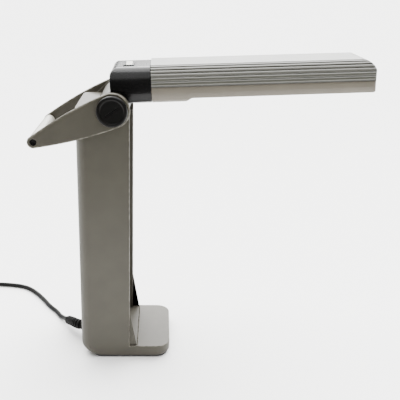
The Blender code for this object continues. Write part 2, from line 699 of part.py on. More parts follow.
def switch_box(grow, low, high, bevel=0.0):
    """A box over the rocker's well, grown on all four sides, between two heights."""
    return box((SWITCH_X - SWITCH_WIDE - grow, SWITCH_Y - SWITCH_LONG - grow, low),
               (SWITCH_X + SWITCH_WIDE + grow, SWITCH_Y + SWITCH_LONG + grow, high), bevel, 1)


def make_collar(pivot):
    """Black collar: hollow, open at the front, saddled over the barrel, with the switch's hole."""
    outline = arch(HEAD_HALF, COLLAR_TOP, HEAD_SEAM)
    whole = [(y, z) for y, z in outline] + belly()[1:-1]
    collar = slab(whole, "YZ", COLLAR_BACK, COLLAR_FRONT)
    radius, wall, clear = 0.006, 0.0024, 0.0012
    side = ([(COLLAR_BACK, 0.0), (COLLAR_FRONT, 0.0), (COLLAR_FRONT, COLLAR_TOP + 0.001),
             (COLLAR_BACK + radius, COLLAR_TOP + 0.0001)]
            + arc(COLLAR_BACK + radius, COLLAR_TOP - radius, radius, 90, 180, 8)[1:])
    collar = common(collar, slab(side, "XZ", -BEYOND, BEYOND))
    inner_top = arch(HEAD_HALF - wall, COLLAR_TOP - wall, HEAD_SEAM)
    inner = slab(inner_top + belly(wall)[1:-1], "YZ", COLLAR_BACK + wall, COLLAR_FRONT + 0.01)
    collar = cut(collar, inner, rod((0, -BEYOND, 0), (0, BEYOND, 0), BARREL_RADIUS + GAP, 44))
    hole = switch_box(clear, COLLAR_TOP - 0.0107, BEYOND)
    name_node(cut(collar, hole), "head_collar", BLACK, pivot)


def head_side(top, bottom, thin, reach, radius, wall=0.0):
    """Side outline of the shade: stepped underside and rounded tip."""
    step = [(COLLAR_FRONT - 0.01, bottom), (0.0855, bottom), (0.0885, bottom + 0.0008),
            (0.0925, thin - 0.0008), (0.0960, thin)]
    corner = 0.003 - wall * 0.4
    nose = arc(reach - corner, thin + corner, corner, -90, 0, 4)
    tip = arc(reach - radius, top - radius, radius, 0, 90, 10)
    return step + nose + tip + [(COLLAR_FRONT - 0.01, top)]


def make_shade(pivot):
    """Ribbed upper cover and plain lower housing of the head."""
    start = COLLAR_FRONT + GAP
    past = 0.01
    tip_side = head_side(HEAD_TOP, HEAD_BOTTOM, THIN_BOTTOM, HEAD_REACH, TIP_RADIUS)
    inner_side = head_side(HEAD_TOP - SHADE_WALL, HEAD_BOTTOM + SHADE_WALL,
                           THIN_BOTTOM + SHADE_WALL, HEAD_REACH - SHADE_WALL,
                           TIP_RADIUS - SHADE_WALL, SHADE_WALL)
    cover = slab(arch(HEAD_HALF, HEAD_TOP, HEAD_SEAM, RIB_COUNT, RIB_HEIGHT), "YZ",
                 start, HEAD_REACH + past)
    cover = common(cover, slab(tip_side, "XZ", -BEYOND, BEYOND))
    hollow = arch(HEAD_HALF - SHADE_WALL, HEAD_TOP - SHADE_WALL, HEAD_SEAM)
    hollow = ([(hollow[0][0], HEAD_SEAM - past)] + hollow + [(hollow[-1][0], HEAD_SEAM - past)])
    hollow = slab(hollow, "YZ", start - past, HEAD_REACH + past)
    cover = cut(cover, common(hollow, slab(inner_side, "XZ", -BEYOND, BEYOND)))
    name_node(cover, "shade_cover", PALE, pivot)

    lower_top = HEAD_SEAM - GAP
    section = [(y, min(z, lower_top)) for y, z in belly()]
    lower = common(slab(section, "YZ", start, HEAD_REACH + past), slab(tip_side, "XZ", -BEYOND, BEYOND))
    well = belly(SHADE_WALL)
    well = [(well[0][0], HEAD_SEAM + past)] + well + [(well[-1][0], HEAD_SEAM + past)]
    well = common(slab(well, "YZ", start - past, HEAD_REACH + past),
                  slab(inner_side, "XZ", -BEYOND, BEYOND))
    window = box((WINDOW[0], -WINDOW_HALF, 0.0), (WINDOW[1], WINDOW_HALF, 0.02))
    lower = cut(lower, well, window)
    screws = []
    for y in HEAD_SCREWS_Y:
        for x in HEAD_SCREWS_X:
            lower = cut(lower, rod((x, y, 0.0), (x, y, past), 0.0018, 16))
            screws.append(screw((x, y, HEAD_BOTTOM - GAP), (0, 0, 1), 0.0032, 0.0012, 0.0015, 0.013))
    name_node(lower, "lower_housing", PINKISH, pivot)
    name_nodes(screws, "head_screw", STEEL, pivot)


def make_light(pivot):
    """Reflector, diffuser, twin-tube lamp, its socket and its clip."""
    sheet_thick, lip = 0.0006, 0.003
    wide, narrow, rim, fold, roof = 0.0390, 0.0250, 0.0215, 0.0250, 0.0425
    outside = [(-wide, rim), (-wide, fold), (-narrow, roof), (narrow, roof), (wide, fold), (wide, rim)]
    inside = [(y * 0.985, z - sheet_thick) for y, z in outside[1:-1]]
    sheet = (outside + [(wide - sheet_thick, rim)] + list(reversed(inside))
             + [(sheet_thick - wide, rim)])
    name_node(slab(sheet, "YZ", WINDOW[0] - lip, WINDOW[1] + lip), "reflector", WHITE, pivot)
    low, half = THIN_BOTTOM + SHADE_WALL + GAP, WINDOW_HALF + 0.002
    diffuser = box((WINDOW[0] - lip, -half, low), (WINDOW[1] + lip, half, low + 0.0015))
    name_node(diffuser, "diffuser", CLEAR, pivot)

    tube_z, tube_y, radius = 0.0250, 0.0075, 0.006
    cap_low, cap_high, end = 0.0680, 0.1000, 0.2960
    tubes = []
    for side in (-1, 1):
        way = [(end - cap_high, 0.0), (end - cap_high, 0.002), (end - cap_high - 0.0015, 0.0045),
               (end - cap_high - 0.005, radius), (GAP, radius), (GAP, 0.0)]
        tubes.append(turned(way, (cap_high, side * tube_y, tube_z), (1, 0, 0), 20))
    bridge_x = end - 0.010
    bridge = rod((bridge_x, -tube_y, tube_z), (bridge_x, tube_y, tube_z), 0.0035, 16)
    name_node(fuse(tubes[0], tubes[1], bridge), "lamp_tubes", GLASS, pivot)
    cap = box((cap_low, -0.0160, tube_z - 0.0095), (cap_high, 0.0160, tube_z + 0.0095), 0.002, 2)
    name_node(cap, "lamp_cap", NYLON, pivot)
    holder = box((0.0500, -0.0180, tube_z - 0.0120), (cap_low - GAP, 0.0180, tube_z + 0.0120),
                 0.0012, 1)
    name_node(holder, "lampholder", WHITE, pivot)
    near, far = end - 0.033, end - 0.027
    clip_half, clip_sheet, over = 0.0145, 0.0007, tube_z + 0.0066
    clip = box((near, -clip_half, over), (far, clip_half, over + 0.0008))
    for side in (-1, 1):
        y0, y1 = mirrored(clip_half - clip_sheet, clip_half, side)
        clip = fuse(clip, box((near, y0, tube_z - 0.004), (far, y1, over + 0.0006)))
    stem = box((near, -0.004, over + 0.0004), (far, 0.004, roof - sheet_thick - GAP))
    name_node(fuse(clip, stem), "lamp_clip", STEEL, pivot)


def make_switch(head, rocker_pivot):
    """Bezel with its body under the collar's top, and the rocker."""
    top = COLLAR_TOP
    bezel = switch_box(0.0016, top + GAP, top + 0.0011, 0.0004)
    body = switch_box(0.0009, top - 0.013, top + 0.0008)
    well = switch_box(-0.0006, top - 0.0075, top + 0.01)
    name_node(cut(fuse(bezel, body), well), "switch_bezel", BLACK, head)
    long, wide = SWITCH_LONG - 0.0012, SWITCH_WIDE - 0.0010
    outline = [(-long, -0.0030), (long, -0.0030), (long, 0.0024), (0.0, 0.0016), (-long, 0.0024)]
    rocker = rounded(slab(outline, "YZ", -wide, wide), 0.0004, 1)
    name_node(rocker, "switch_rocker", PALE, rocker_pivot)


# ---- plug ---------------------------------------------------------------------------------------
PLUG_START = Vector((COIL_CENTRE.x - COIL_MIDDLE - COIL_PITCH, 0.0668, 0.0070))
PLUG_WAY = Vector((0.0, -1.0, 0.0))


def make_plug():
    """Flat two-pin plug beside the coil, with the short tail of cord that reaches it."""
    side = Vector((-PLUG_WAY.y, PLUG_WAY.x, 0.0))
    turn = Matrix(((PLUG_WAY.x, side.x, 0, PLUG_START.x), (PLUG_WAY.y, side.y, 0, PLUG_START.y),
                   (0, 0, 1, PLUG_START.z), (0, 0, 0, 1)))
    corner, corner_x, corner_y = 0.004, 0.032, 0.0135
    side_points = [(0.0, 0.0045), (0.010, 0.0060), (0.018, 0.0120)]
    outline = ([(x, -y) for x, y in side_points]
               + arc(corner_x, -corner_y, corner, -90, 0, 4) + arc(corner_x, corner_y, corner, 0, 90, 4)
               + side_points[::-1])
    half_thick = 0.0068
    body = rounded(slab(outline, "XY", -half_thick, half_thick), 0.0015, 2, 60)
    pin_x, pin_y, pin_radius, pin_long = corner_x + corner + GAP, 0.0093, 0.0020, 0.0187
    pins = [rod((pin_x, y, 0.0), (pin_x + pin_long, y, 0.0), pin_radius, 16) for y in (-pin_y, pin_y)]
    place(body, turn)
    for pin in pins:
        place(pin, turn)
    name_node(body, "plug_body", MATT)
    name_nodes(pins, "plug_pin", BRASS)


# ---- assembly -----------------------------------------------------------------------------------
def main():
    hinge = Vector((HINGE_X, 0.0, HINGE_Z))
    head = pivot_at("head_axis", hinge, -HEAD_TILT)
    handle = pivot_at("handle_axis", hinge, -HANDLE_DROP)
    knob = pivot_at("knob_axis", hinge)
    rocker = pivot_at("rocker_axis", (SWITCH_X, SWITCH_Y, COLLAR_TOP - 0.0015))
    rocker.parent = head
    rocker.rotation_euler = (radians(5), 0.0, 0.0)

    make_stand_shell()
    make_channel_liner()
    make_base()
    make_ballast()
    make_terminals()
    make_cord()
    make_plug()
    make_hinge()
    name_node(make_knob(-1, knob), "knob_near", MATT, knob)
    make_handle(handle)
    make_barrel(head)
    make_collar(head)
    make_shade(head)
    make_light(head)
    make_switch(head, rocker)


main()
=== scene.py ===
# %% [markdown]
# # A folding desk lamp
# A channel-shaped column stands on a foot. The long lamp head hinges between two ears at the top of
# the column and folds down into the channel, and a carry handle swings on the same axle. The frame
# holds the sizes and the joints. This script gives every visible piece its fine shape and finish.

# %% Load the frame
import json
from math import asin, cos, degrees, pi, radians, sin, sqrt

import bmesh
import bpy
from mathutils import Matrix, Vector


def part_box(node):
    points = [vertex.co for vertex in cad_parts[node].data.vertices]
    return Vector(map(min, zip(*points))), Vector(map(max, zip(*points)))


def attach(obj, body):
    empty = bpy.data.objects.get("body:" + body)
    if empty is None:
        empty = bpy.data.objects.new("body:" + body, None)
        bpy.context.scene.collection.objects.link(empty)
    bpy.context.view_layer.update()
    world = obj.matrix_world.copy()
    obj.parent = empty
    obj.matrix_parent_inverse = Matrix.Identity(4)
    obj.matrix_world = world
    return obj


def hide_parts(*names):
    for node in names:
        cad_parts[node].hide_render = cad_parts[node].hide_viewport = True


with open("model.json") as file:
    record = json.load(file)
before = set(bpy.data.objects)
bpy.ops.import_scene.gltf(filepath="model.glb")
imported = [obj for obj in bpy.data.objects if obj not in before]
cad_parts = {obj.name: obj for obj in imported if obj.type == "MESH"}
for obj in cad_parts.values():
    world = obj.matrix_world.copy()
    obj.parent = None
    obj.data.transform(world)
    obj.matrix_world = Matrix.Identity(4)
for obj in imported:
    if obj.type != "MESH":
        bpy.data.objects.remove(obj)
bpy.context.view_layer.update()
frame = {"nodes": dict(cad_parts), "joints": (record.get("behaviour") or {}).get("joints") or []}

# %% [markdown]
# ## Camera
# A product shot of a lamp is taken from a little above the table, with a lens long enough to keep
# the column's edges nearly straight. The camera could track an empty, but then its small roll would
# need a second rotation, so its three axes are worked out from yaw, pitch and roll.

# %% Camera
CAMERA_AT = Vector((0.0413, -0.7905, 0.5002))
LENS = 56.7
YAW, PITCH, ROLL = radians(4.01), radians(20.18), radians(2.32)


def aim(yaw, pitch, roll):
    """Camera axes as columns. Yaw turns from +Y towards +X, pitch looks down, roll leans right."""
    forward = Vector((sin(yaw) * cos(pitch), cos(yaw) * cos(pitch), -sin(pitch)))
    level = Vector((cos(yaw), -sin(yaw), 0.0))
    upright = level.cross(forward)
    right = cos(roll) * level + sin(roll) * upright
    up = cos(roll) * upright - sin(roll) * level
    return Matrix((right, up, -forward)).transposed()


camera = bpy.data.objects.new("camera", bpy.data.cameras.new("camera"))
camera.data.lens = LENS
camera.matrix_world = Matrix.Translation(CAMERA_AT) @ aim(YAW, PITCH, ROLL).to_4x4()
bpy.context.scene.collection.objects.link(camera)
bpy.context.scene.camera = camera
print("camera looks down", round(degrees(PITCH), 1), "degrees")

# %% [markdown]
# ## Light
# The lamp stands on white paper under one broad light that hangs above and behind it, so its top
# faces are bright, its sides are in half tone and the paper throws light back up under the head. A
# sun with a wide angle lights the whole floor evenly, where an area lamp would fall off towards the
# horizon. A soft box in front of and above the lamp draws one clean reflection on glossy shoulders.
# The sky is dim, so that the sides stay in half tone, but it is shown bright, like a white backdrop.

# %% Broad light and sky
SUN_STRENGTH, SUN_SPREAD = 20.0, radians(90)
SUN_TURN = (radians(-34), radians(3), 0.0)
SKY, SKY_STRENGTH, BACKDROP_STRENGTH = (0.96, 0.97, 0.96), 0.25, 5.0

sun = bpy.data.lights.new("broad_light", "SUN")
sun.energy, sun.angle = SUN_STRENGTH, SUN_SPREAD
broad_light = bpy.data.objects.new("broad_light", sun)
broad_light.rotation_euler = SUN_TURN
bpy.context.scene.collection.objects.link(broad_light)
world = bpy.data.worlds.new("pale_sky")
world.use_nodes = True
sky = world.node_tree.nodes["Background"]
sky.inputs["Color"].default_value = (*SKY, 1.0)
light_path = world.node_tree.nodes.new("ShaderNodeLightPath")
strength = world.node_tree.nodes.new("ShaderNodeMath")
strength.operation = "MULTIPLY_ADD"
strength.inputs[1].default_value = BACKDROP_STRENGTH - SKY_STRENGTH
strength.inputs[2].default_value = SKY_STRENGTH
world.node_tree.links.new(light_path.outputs["Is Camera Ray"], strength.inputs[0])
world.node_tree.links.new(strength.outputs[0], sky.inputs["Strength"])
bpy.context.scene.world = world
print("broad light:", SUN_STRENGTH, "W/m2")

# %% Soft box
BOX_AT, BOX_TARGET = Vector((0.05, -0.80, 1.60)), Vector((0.05, 0.0, 0.36))
BOX_SIZE, BOX_POWER = (2.0, 1.3), 26.0
area = bpy.data.lights.new("soft_box", "AREA")
area.shape = "RECTANGLE"
area.size, area.size_y = BOX_SIZE
area.energy = BOX_POWER
soft_box_light = bpy.data.objects.new("soft_box", area)
soft_box_light.location = BOX_AT
soft_box_light.rotation_euler = (BOX_TARGET - BOX_AT).to_track_quat("-Z", "Y").to_euler()
soft_box_light.visible_camera = False
bpy.context.scene.collection.objects.link(soft_box_light)
print("soft box:", BOX_POWER, "W")

# %% [markdown]
# ## Node tools
# Every finish below is a node tree, and short helpers keep the trees readable. They make a node, a
# Math node, a colour Mix node or a noise texture, start a group with named sockets, and place one.
# Effects that several finishes share are groups, so that one change reaches all of them.

# %% Node tools
def add_node(tree, kind, **settings):
    """A shader node with its settings."""
    made = tree.nodes.new("ShaderNode" + kind)
    for key, value in settings.items():
        setattr(made, key, value)
    return made


def feed(tree, value, socket):
    """Join a socket to a socket, or set a number on it."""
    if isinstance(value, bpy.types.NodeSocket):
        tree.links.new(value, socket)
    else:
        socket.default_value = value


def calculate(tree, operation, *values, clamp=False):
    """The output of one Math node."""
    made = add_node(tree, "Math", operation=operation, use_clamp=clamp)
    for value, socket in zip(values, made.inputs):
        feed(tree, value, socket)
    return made.outputs[0]


def mix_colours(tree, factor, a, b):
    """The output of one colour Mix node."""
    made = add_node(tree, "Mix", data_type="RGBA")
    for value, socket in zip((factor, a, b), (made.inputs[0], made.inputs[6], made.inputs[7])):
        feed(tree, value, socket)
    return made.outputs[2]


def new_group(name, inputs, outputs):
    """An empty node group with named inputs (kind, start value) and outputs (kind)."""
    tree = bpy.data.node_groups.new(name, "ShaderNodeTree")
    for label, (kind, value) in inputs.items():
        socket = tree.interface.new_socket(label, in_out="INPUT", socket_type="NodeSocket" + kind)
        socket.default_value = value
    for label, kind in outputs.items():
        tree.interface.new_socket(label, in_out="OUTPUT", socket_type="NodeSocket" + kind)
    return tree, tree.nodes.new("NodeGroupInput").outputs, tree.nodes.new("NodeGroupOutput").inputs


def place_group(tree, group, **values):
    """One use of a node group; its input names have spaces where the keywords have underscores."""
    made = add_node(tree, "Group", node_tree=group)
    for label, value in values.items():
        feed(tree, value, made.inputs[label.replace("_", " ").capitalize()])
    return made.outputs


def noise(tree, coordinates, size, detail=2.0):
    """A noise texture with features of a given size."""
    made = add_node(tree, "TexNoise")
    made.inputs["Detail"].default_value = detail
    tree.links.new(coordinates, made.inputs["Vector"])
    tree.links.new(calculate(tree, "DIVIDE", 1.0, size), made.inputs["Scale"])
    return made.outputs["Fac"]


def stretch(tree, value, low, high):
    """Spread the part of a value between two levels over 0 to 1."""
    made = add_node(tree, "MapRange")
    made.inputs["From Min"].default_value = low
    made.inputs["From Max"].default_value = high
    tree.links.new(value, made.inputs["Value"])
    return made.outputs["Result"]


print("node tools are ready")

# %% [markdown]
# ## Shared effects
# Moulded plastic is never one flat colour. The pigment drifts slowly over a large part, the mould
# leaves a fine spark-eroded grain, corners get polished and paler from handling, and dust settles
# on faces that look up. On the warm grey moulding the paler rounded edges are also a painted
# highlight on the rims. Each effect reads object coordinates, so it stays put when a joint moves.

# %% Tone: slow drift between two colours
TONE, given, out = new_group(
    "tone",
    {"Base": ("Color", (0.5, 0.5, 0.5, 1)), "Shade": ("Color", (0.4, 0.4, 0.4, 1)),
     "Size": ("Float", 0.03)},
    {"Colour": "Color"})
clouds = noise(TONE, add_node(TONE, "TexCoord").outputs["Object"], given["Size"], 5.0)
drift = stretch(TONE, clouds, 0.35, 0.65)
TONE.links.new(mix_colours(TONE, drift, given["Base"], given["Shade"]), out["Colour"])
print("group:", TONE.name)

# %% Grain: the mould's fine texture
GRAIN, given, out = new_group(
    "grain",
    {"Size": ("Float", 0.0006), "Depth": ("Float", 0.5)},
    {"Height": "Float", "Fleck": "Float"})
coordinates = add_node(GRAIN, "TexCoord").outputs["Object"]
pits = add_node(GRAIN, "TexVoronoi", feature="SMOOTH_F1")
GRAIN.links.new(coordinates, pits.inputs["Vector"])
GRAIN.links.new(calculate(GRAIN, "DIVIDE", 1.0, given["Size"]), pits.inputs["Scale"])
dimples = noise(GRAIN, coordinates, given["Size"])
pitted = calculate(GRAIN, "ADD", pits.outputs["Distance"], dimples)
GRAIN.links.new(calculate(GRAIN, "MULTIPLY", pitted, given["Depth"]), out["Height"])
GRAIN.links.new(dimples, out["Fleck"])
print("group:", GRAIN.name)

# %% Edge wear and highlight: a patchy mask on rounded edges, for polish and a painted rim highlight
EDGE_WEAR_AND_HIGHLIGHT, given, out = new_group(
    "edge_wear_and_highlight",
    {"Amount": ("Float", 0.5), "Size": ("Float", 0.006)},
    {"Mask": "Float"})
edges = add_node(EDGE_WEAR_AND_HIGHLIGHT, "Attribute", attribute_name="wear_and_highlight_edges")
patches = noise(EDGE_WEAR_AND_HIGHLIGHT, add_node(EDGE_WEAR_AND_HIGHLIGHT, "TexCoord").outputs["Object"], given["Size"], 6.0)
wear_and_highlight_edges = calculate(EDGE_WEAR_AND_HIGHLIGHT, "MULTIPLY", edges.outputs["Fac"], stretch(EDGE_WEAR_AND_HIGHLIGHT, patches, 0.38, 0.62))
EDGE_WEAR_AND_HIGHLIGHT.links.new(calculate(EDGE_WEAR_AND_HIGHLIGHT, "MULTIPLY", wear_and_highlight_edges, given["Amount"], clamp=True), out["Mask"])
print("group:", EDGE_WEAR_AND_HIGHLIGHT.name)

# %% Dust: a thin film on faces that look up
DUST, given, out = new_group(
    "dust",
    {"Amount": ("Float", 0.1), "Size": ("Float", 0.01)},
    {"Mask": "Float"})
coordinates = add_node(DUST, "TexCoord")
upward = add_node(DUST, "SeparateXYZ")
DUST.links.new(coordinates.outputs["Normal"], upward.inputs["Vector"])
settled = noise(DUST, coordinates.outputs["Object"], given["Size"], 8.0)
film = calculate(DUST, "MULTIPLY", calculate(DUST, "MAXIMUM", upward.outputs["Z"], 0.0), settled)
DUST.links.new(calculate(DUST, "MULTIPLY", film, given["Amount"], clamp=True), out["Mask"])
print("group:", DUST.name)

# %% [markdown]
# ## Finishes
# One recipe makes every opaque finish. Tone gives the colour, worn edges and dust are mixed over
# it, the same masks move the roughness, and the grain drives a Bump node. Where the edge colour is
# much paler than the base, the worn edges are also a painted highlight. A plastic and a metal
# differ only in their values, so the recipe takes those as arguments.

# %% The recipe
DUST_COLOUR = (0.62, 0.60, 0.55)


def finish(name, base, shade, roughness, metallic=0.0, cloud=0.03, grain=(0.0006, 0.5),
           bump=0.00004, wear_and_highlight=(0.0, (1, 1, 1)), dust=0.0, coat=0.0, gloss=0.5):
    """A Principled material with drifting tone, grain, worn edges that can also carry a painted rim
    highlight, and dust.
    """
    mat = bpy.data.materials.new(name)
    mat.use_nodes = True
    tree = mat.node_tree
    shader = tree.nodes["Principled BSDF"]
    tone = place_group(tree, TONE, base=(*base, 1.0), shade=(*shade, 1.0), size=cloud)
    grained = place_group(tree, GRAIN, size=grain[0], depth=grain[1])
    wear_and_highlight_mask = place_group(tree, EDGE_WEAR_AND_HIGHLIGHT, amount=wear_and_highlight[0], size=0.006)["Mask"]
    dust_mask = place_group(tree, DUST, amount=dust, size=0.012)["Mask"]
    # Rounded edges are mixed towards the edge colour: wear, and where that colour is much paler than
    # the base, a painted highlight on the rims.
    colour = mix_colours(tree, wear_and_highlight_mask, tone["Colour"], (*wear_and_highlight[1], 1.0))
    colour = mix_colours(tree, dust_mask, colour, (*DUST_COLOUR, 1.0))
    tree.links.new(colour, shader.inputs["Base Color"])
    fleck = calculate(tree, "MULTIPLY_ADD", grained["Fleck"], 0.12, roughness - 0.06)
    polished = calculate(tree, "MULTIPLY_ADD", wear_and_highlight_mask, -0.12, fleck)
    dusty = calculate(tree, "MULTIPLY_ADD", dust_mask, 0.5, polished)
    tree.links.new(dusty, shader.inputs["Roughness"])
    bumped = add_node(tree, "Bump")
    bumped.inputs["Distance"].default_value = bump
    tree.links.new(grained["Height"], bumped.inputs["Height"])
    tree.links.new(bumped.outputs["Normal"], shader.inputs["Normal"])
    shader.inputs["Metallic"].default_value = metallic
    shader.inputs["Specular IOR Level"].default_value = gloss
    shader.inputs["Coat Weight"].default_value = coat
    shader.inputs["Coat Roughness"].default_value = 0.08
    return mat


print("recipe: finish")

# %% Plastics, rubber and metals
# The warm grey's pale edge colour is partly wear and partly a painted highlight: it brightens the
# rounded rims of the stand and of the handle cheeks, where they catch the light.
WARM_GREY = finish("warm_grey_moulding", (0.048, 0.0433, 0.0312), (0.0435, 0.039, 0.028), 0.50,
                   wear_and_highlight=(0.6, (0.16, 0.15, 0.12)), dust=0.03, gloss=0.32)
SHADE_GREY = finish("pale_shade_moulding", (0.068, 0.067, 0.052), (0.062, 0.061, 0.047), 0.30,
                    grain=(0.0009, 0.35), wear_and_highlight=(0.3, (0.11, 0.108, 0.09)), dust=0.03, gloss=0.8)
GRIP_GREY = finish("pale_grip_moulding", (0.36, 0.35, 0.30), (0.33, 0.32, 0.28), 0.38,
                   grain=(0.0009, 0.35), wear_and_highlight=(0.4, (0.45, 0.44, 0.40)), dust=0.05)
LOWER_GREY = finish("pinkish_grey_moulding", (0.138, 0.122, 0.093), (0.127, 0.112, 0.086), 0.42,
                    wear_and_highlight=(0.4, (0.22, 0.20, 0.17)), dust=0.03, gloss=0.4)
GLOSS_BLACK = finish("gloss_black_moulding", (0.003, 0.003, 0.003), (0.005, 0.005, 0.005), 0.22,
                     grain=(0.0012, 0.10), bump=0.000006, wear_and_highlight=(0.3, (0.02, 0.02, 0.02)),
                     gloss=0.18)
MATT_BLACK = finish("matt_black_moulding", (0.0025, 0.0025, 0.0025), (0.005, 0.0045, 0.004), 0.36,
                    wear_and_highlight=(0.4, (0.02, 0.02, 0.02)), gloss=0.10)
CORD_BLACK = finish("black_cord_sleeve", (0.006, 0.006, 0.006), (0.010, 0.0095, 0.009), 0.50,
                    cloud=0.02, grain=(0.0011, 0.6), gloss=0.06)
RUBBER = finish("black_rubber", (0.014, 0.014, 0.014), (0.022, 0.021, 0.020), 0.75,
                grain=(0.0008, 1.0), bump=0.00008)
ZINC = finish("zinc_plated_steel", (0.56, 0.57, 0.58), (0.47, 0.48, 0.47), 0.32, metallic=1.0,
              cloud=0.006, grain=(0.0004, 0.4), wear_and_highlight=(0.3, (0.68, 0.68, 0.67)))
LAMINATION = finish("varnished_laminations", (0.20, 0.19, 0.18), (0.13, 0.12, 0.12), 0.45,
                    metallic=0.6, cloud=0.008, grain=(0.0005, 1.0), bump=0.0001)
WINDING = finish("taped_copper_winding", (0.48, 0.21, 0.09), (0.38, 0.15, 0.06), 0.42,
                 cloud=0.004, grain=(0.0008, 0.8), bump=0.0001)
WHITE = finish("white_enamel", (0.80, 0.80, 0.77), (0.76, 0.76, 0.72), 0.28, grain=(0.001, 0.2),
               coat=0.3)
NYLON = finish("natural_nylon", (0.66, 0.63, 0.54), (0.60, 0.57, 0.48), 0.42)
NICKEL = finish("nickel_plated_brass", (0.74, 0.71, 0.62), (0.64, 0.60, 0.50), 0.22, metallic=1.0,
                cloud=0.004, grain=(0.0005, 0.3))
PHOSPHOR = finish("phosphor_coated_glass", (0.86, 0.87, 0.85), (0.82, 0.83, 0.82), 0.30,
                  grain=(0.002, 0.1), coat=0.8)
FLOOR_PAPER = finish("white_paper", (0.90, 0.90, 0.89), (0.89, 0.89, 0.88), 0.9, cloud=0.6,
                     grain=(0.004, 0.2))
print("finishes:", len(bpy.data.materials))

# %% [markdown]
# The diffuser is the one clear piece. Its transmission and metallic values stay plain numbers on
# the shader, and only the haze left by cleaning is a texture, on the roughness.

# %% Clear acrylic
CLEAR = bpy.data.materials.new("clear_acrylic")
CLEAR.use_nodes = True
clear_tree = CLEAR.node_tree
clear_shader = clear_tree.nodes["Principled BSDF"]
haze = place_group(clear_tree, GRAIN, size=0.004, depth=0.4)
clear_tone = place_group(clear_tree, TONE, base=(0.93, 0.95, 0.94, 1), shade=(0.90, 0.92, 0.90, 1),
                         size=0.05)
clear_tree.links.new(clear_tone["Colour"], clear_shader.inputs["Base Color"])
clear_tree.links.new(calculate(clear_tree, "MULTIPLY_ADD", haze["Fleck"], 0.2, 0.12),
                     clear_shader.inputs["Roughness"])
clear_shader.inputs["Transmission Weight"].default_value = 0.85
clear_shader.inputs["IOR"].default_value = 1.49
print("finish:", CLEAR.name)

# %% [markdown]
# ## Floor
# A sheet of white paper, big enough to fill the view to the horizon. It is a staged backdrop, not
# part of the lamp, and it lies a fifth of a millimetre under the table line.

# %% Floor
FLOOR_SIZE = 30.0
FLOOR_DROP = 0.0002
paper = bmesh.new()
bmesh.ops.create_grid(paper, x_segments=12, y_segments=12, size=FLOOR_SIZE / 2)
floor_mesh = bpy.data.meshes.new("floor")
paper.to_mesh(floor_mesh)
paper.free()
floor_mesh.materials.append(FLOOR_PAPER)
floor = bpy.data.objects.new("floor", floor_mesh)
floor.location.z = -FLOOR_DROP
bpy.context.scene.collection.objects.link(floor)
print("floor:", FLOOR_SIZE, "m")

# %% [markdown]
# In a studio the room in front of the set is dark, and that darkness is what keeps the front of the
# lamp in half tone and its black parts black. The floor above is therefore only seen. The light
# that bounces comes from a second sheet of the same paper just under it, which ends a little in
# front of the lamp.

# %% Bounce sheet
SHEET_FRONT, SHEET_UNDER = -0.62, 0.0006
sheet_mesh = bpy.data.meshes.new("bounce_sheet")
sheet_half = FLOOR_SIZE / 2
sheet_mesh.from_pydata([(x, y, -SHEET_UNDER) for x, y in (
    (-sheet_half, SHEET_FRONT), (sheet_half, SHEET_FRONT), (sheet_half, sheet_half),
    (-sheet_half, sheet_half))], [], [(0, 1, 2, 3)])
sheet_mesh.materials.append(FLOOR_PAPER)
sheet = bpy.data.objects.new("bounce_sheet", sheet_mesh)
sheet.visible_camera = False
bpy.context.scene.collection.objects.link(sheet)
floor.visible_diffuse = floor.visible_glossy = floor.visible_shadow = False
print("bounce sheet: from y =", SHEET_FRONT, "m")

# %% [markdown]
# ## Mesh tools
# Nearly every piece here is a stack of outlines joined by strips of faces: two outlines make a
# plate, many make a shell or a tube, and an outline of one point closes a turned piece on its axis.
# One loft function covers them all. Hollows are cut afterwards with exact Booleans.

# %% Outlines and lofts
HEAD_THROUGH = 0.06              # more than half the head's width


def arc(cu, cv, radius, start, end, steps):
    """Points on a circle, angles in degrees."""
    angles = [radians(start + (end - start) * i / steps) for i in range(steps + 1)]
    return [(cu + radius * cos(a), cv + radius * sin(a)) for a in angles]


def join_rings(bm, first, second):
    """A strip of faces between two rings; a ring of one vertex is a pole."""
    count = max(len(first), len(second))
    for i in range(count):
        j = (i + 1) % count
        corners = [first[i % len(first)], first[j % len(first)],
                   second[j % len(second)], second[i % len(second)]]
        bm.faces.new(list(dict.fromkeys(corners)))


def loft(rings, closed=False):
    """A solid through rings of points; closed joins the last ring to the first."""
    bm = bmesh.new()
    rows = [[bm.verts.new(point) for point in ring] for ring in rings]
    for first, second in zip(rows, rows[1:]):
        join_rings(bm, first, second)
    if closed:
        join_rings(bm, rows[-1], rows[0])
    else:
        for row in (rows[0], rows[-1]):
            if len(row) > 2:
                bm.faces.new(row)
    bmesh.ops.recalc_face_normals(bm, faces=bm.faces)
    mesh = bpy.data.meshes.new("piece")
    bm.to_mesh(mesh)
    bm.free()
    for _ in range(2):           # the second slot marks rounded faces
        mesh.materials.append(None)
    obj = bpy.data.objects.new("piece", mesh)
    bpy.context.scene.collection.objects.link(obj)
    return obj


def plate(outline, axis, low, high):
    """An outline carried along one axis: (y, z) along x, (x, z) along y, or (x, y) along z."""
    lay = {"x": lambda u, v, w: (w, u, v), "y": lambda u, v, w: (u, w, v),
           "z": lambda u, v, w: (u, v, w)}[axis]
    return loft([[lay(u, v, w) for u, v in outline] for w in (low, high)])


def across(outline):
    """A side outline (x, z) carried right through the head, to cut or trim it."""
    return plate(outline, "y", -HEAD_THROUGH, HEAD_THROUGH)


def block(low, high):
    """A cutter between two corners."""
    (x0, y0, z0), (x1, y1, z1) = low, high
    return plate([(x0, y0), (x1, y0), (x1, y1), (x0, y1)], "z", z0, z1)


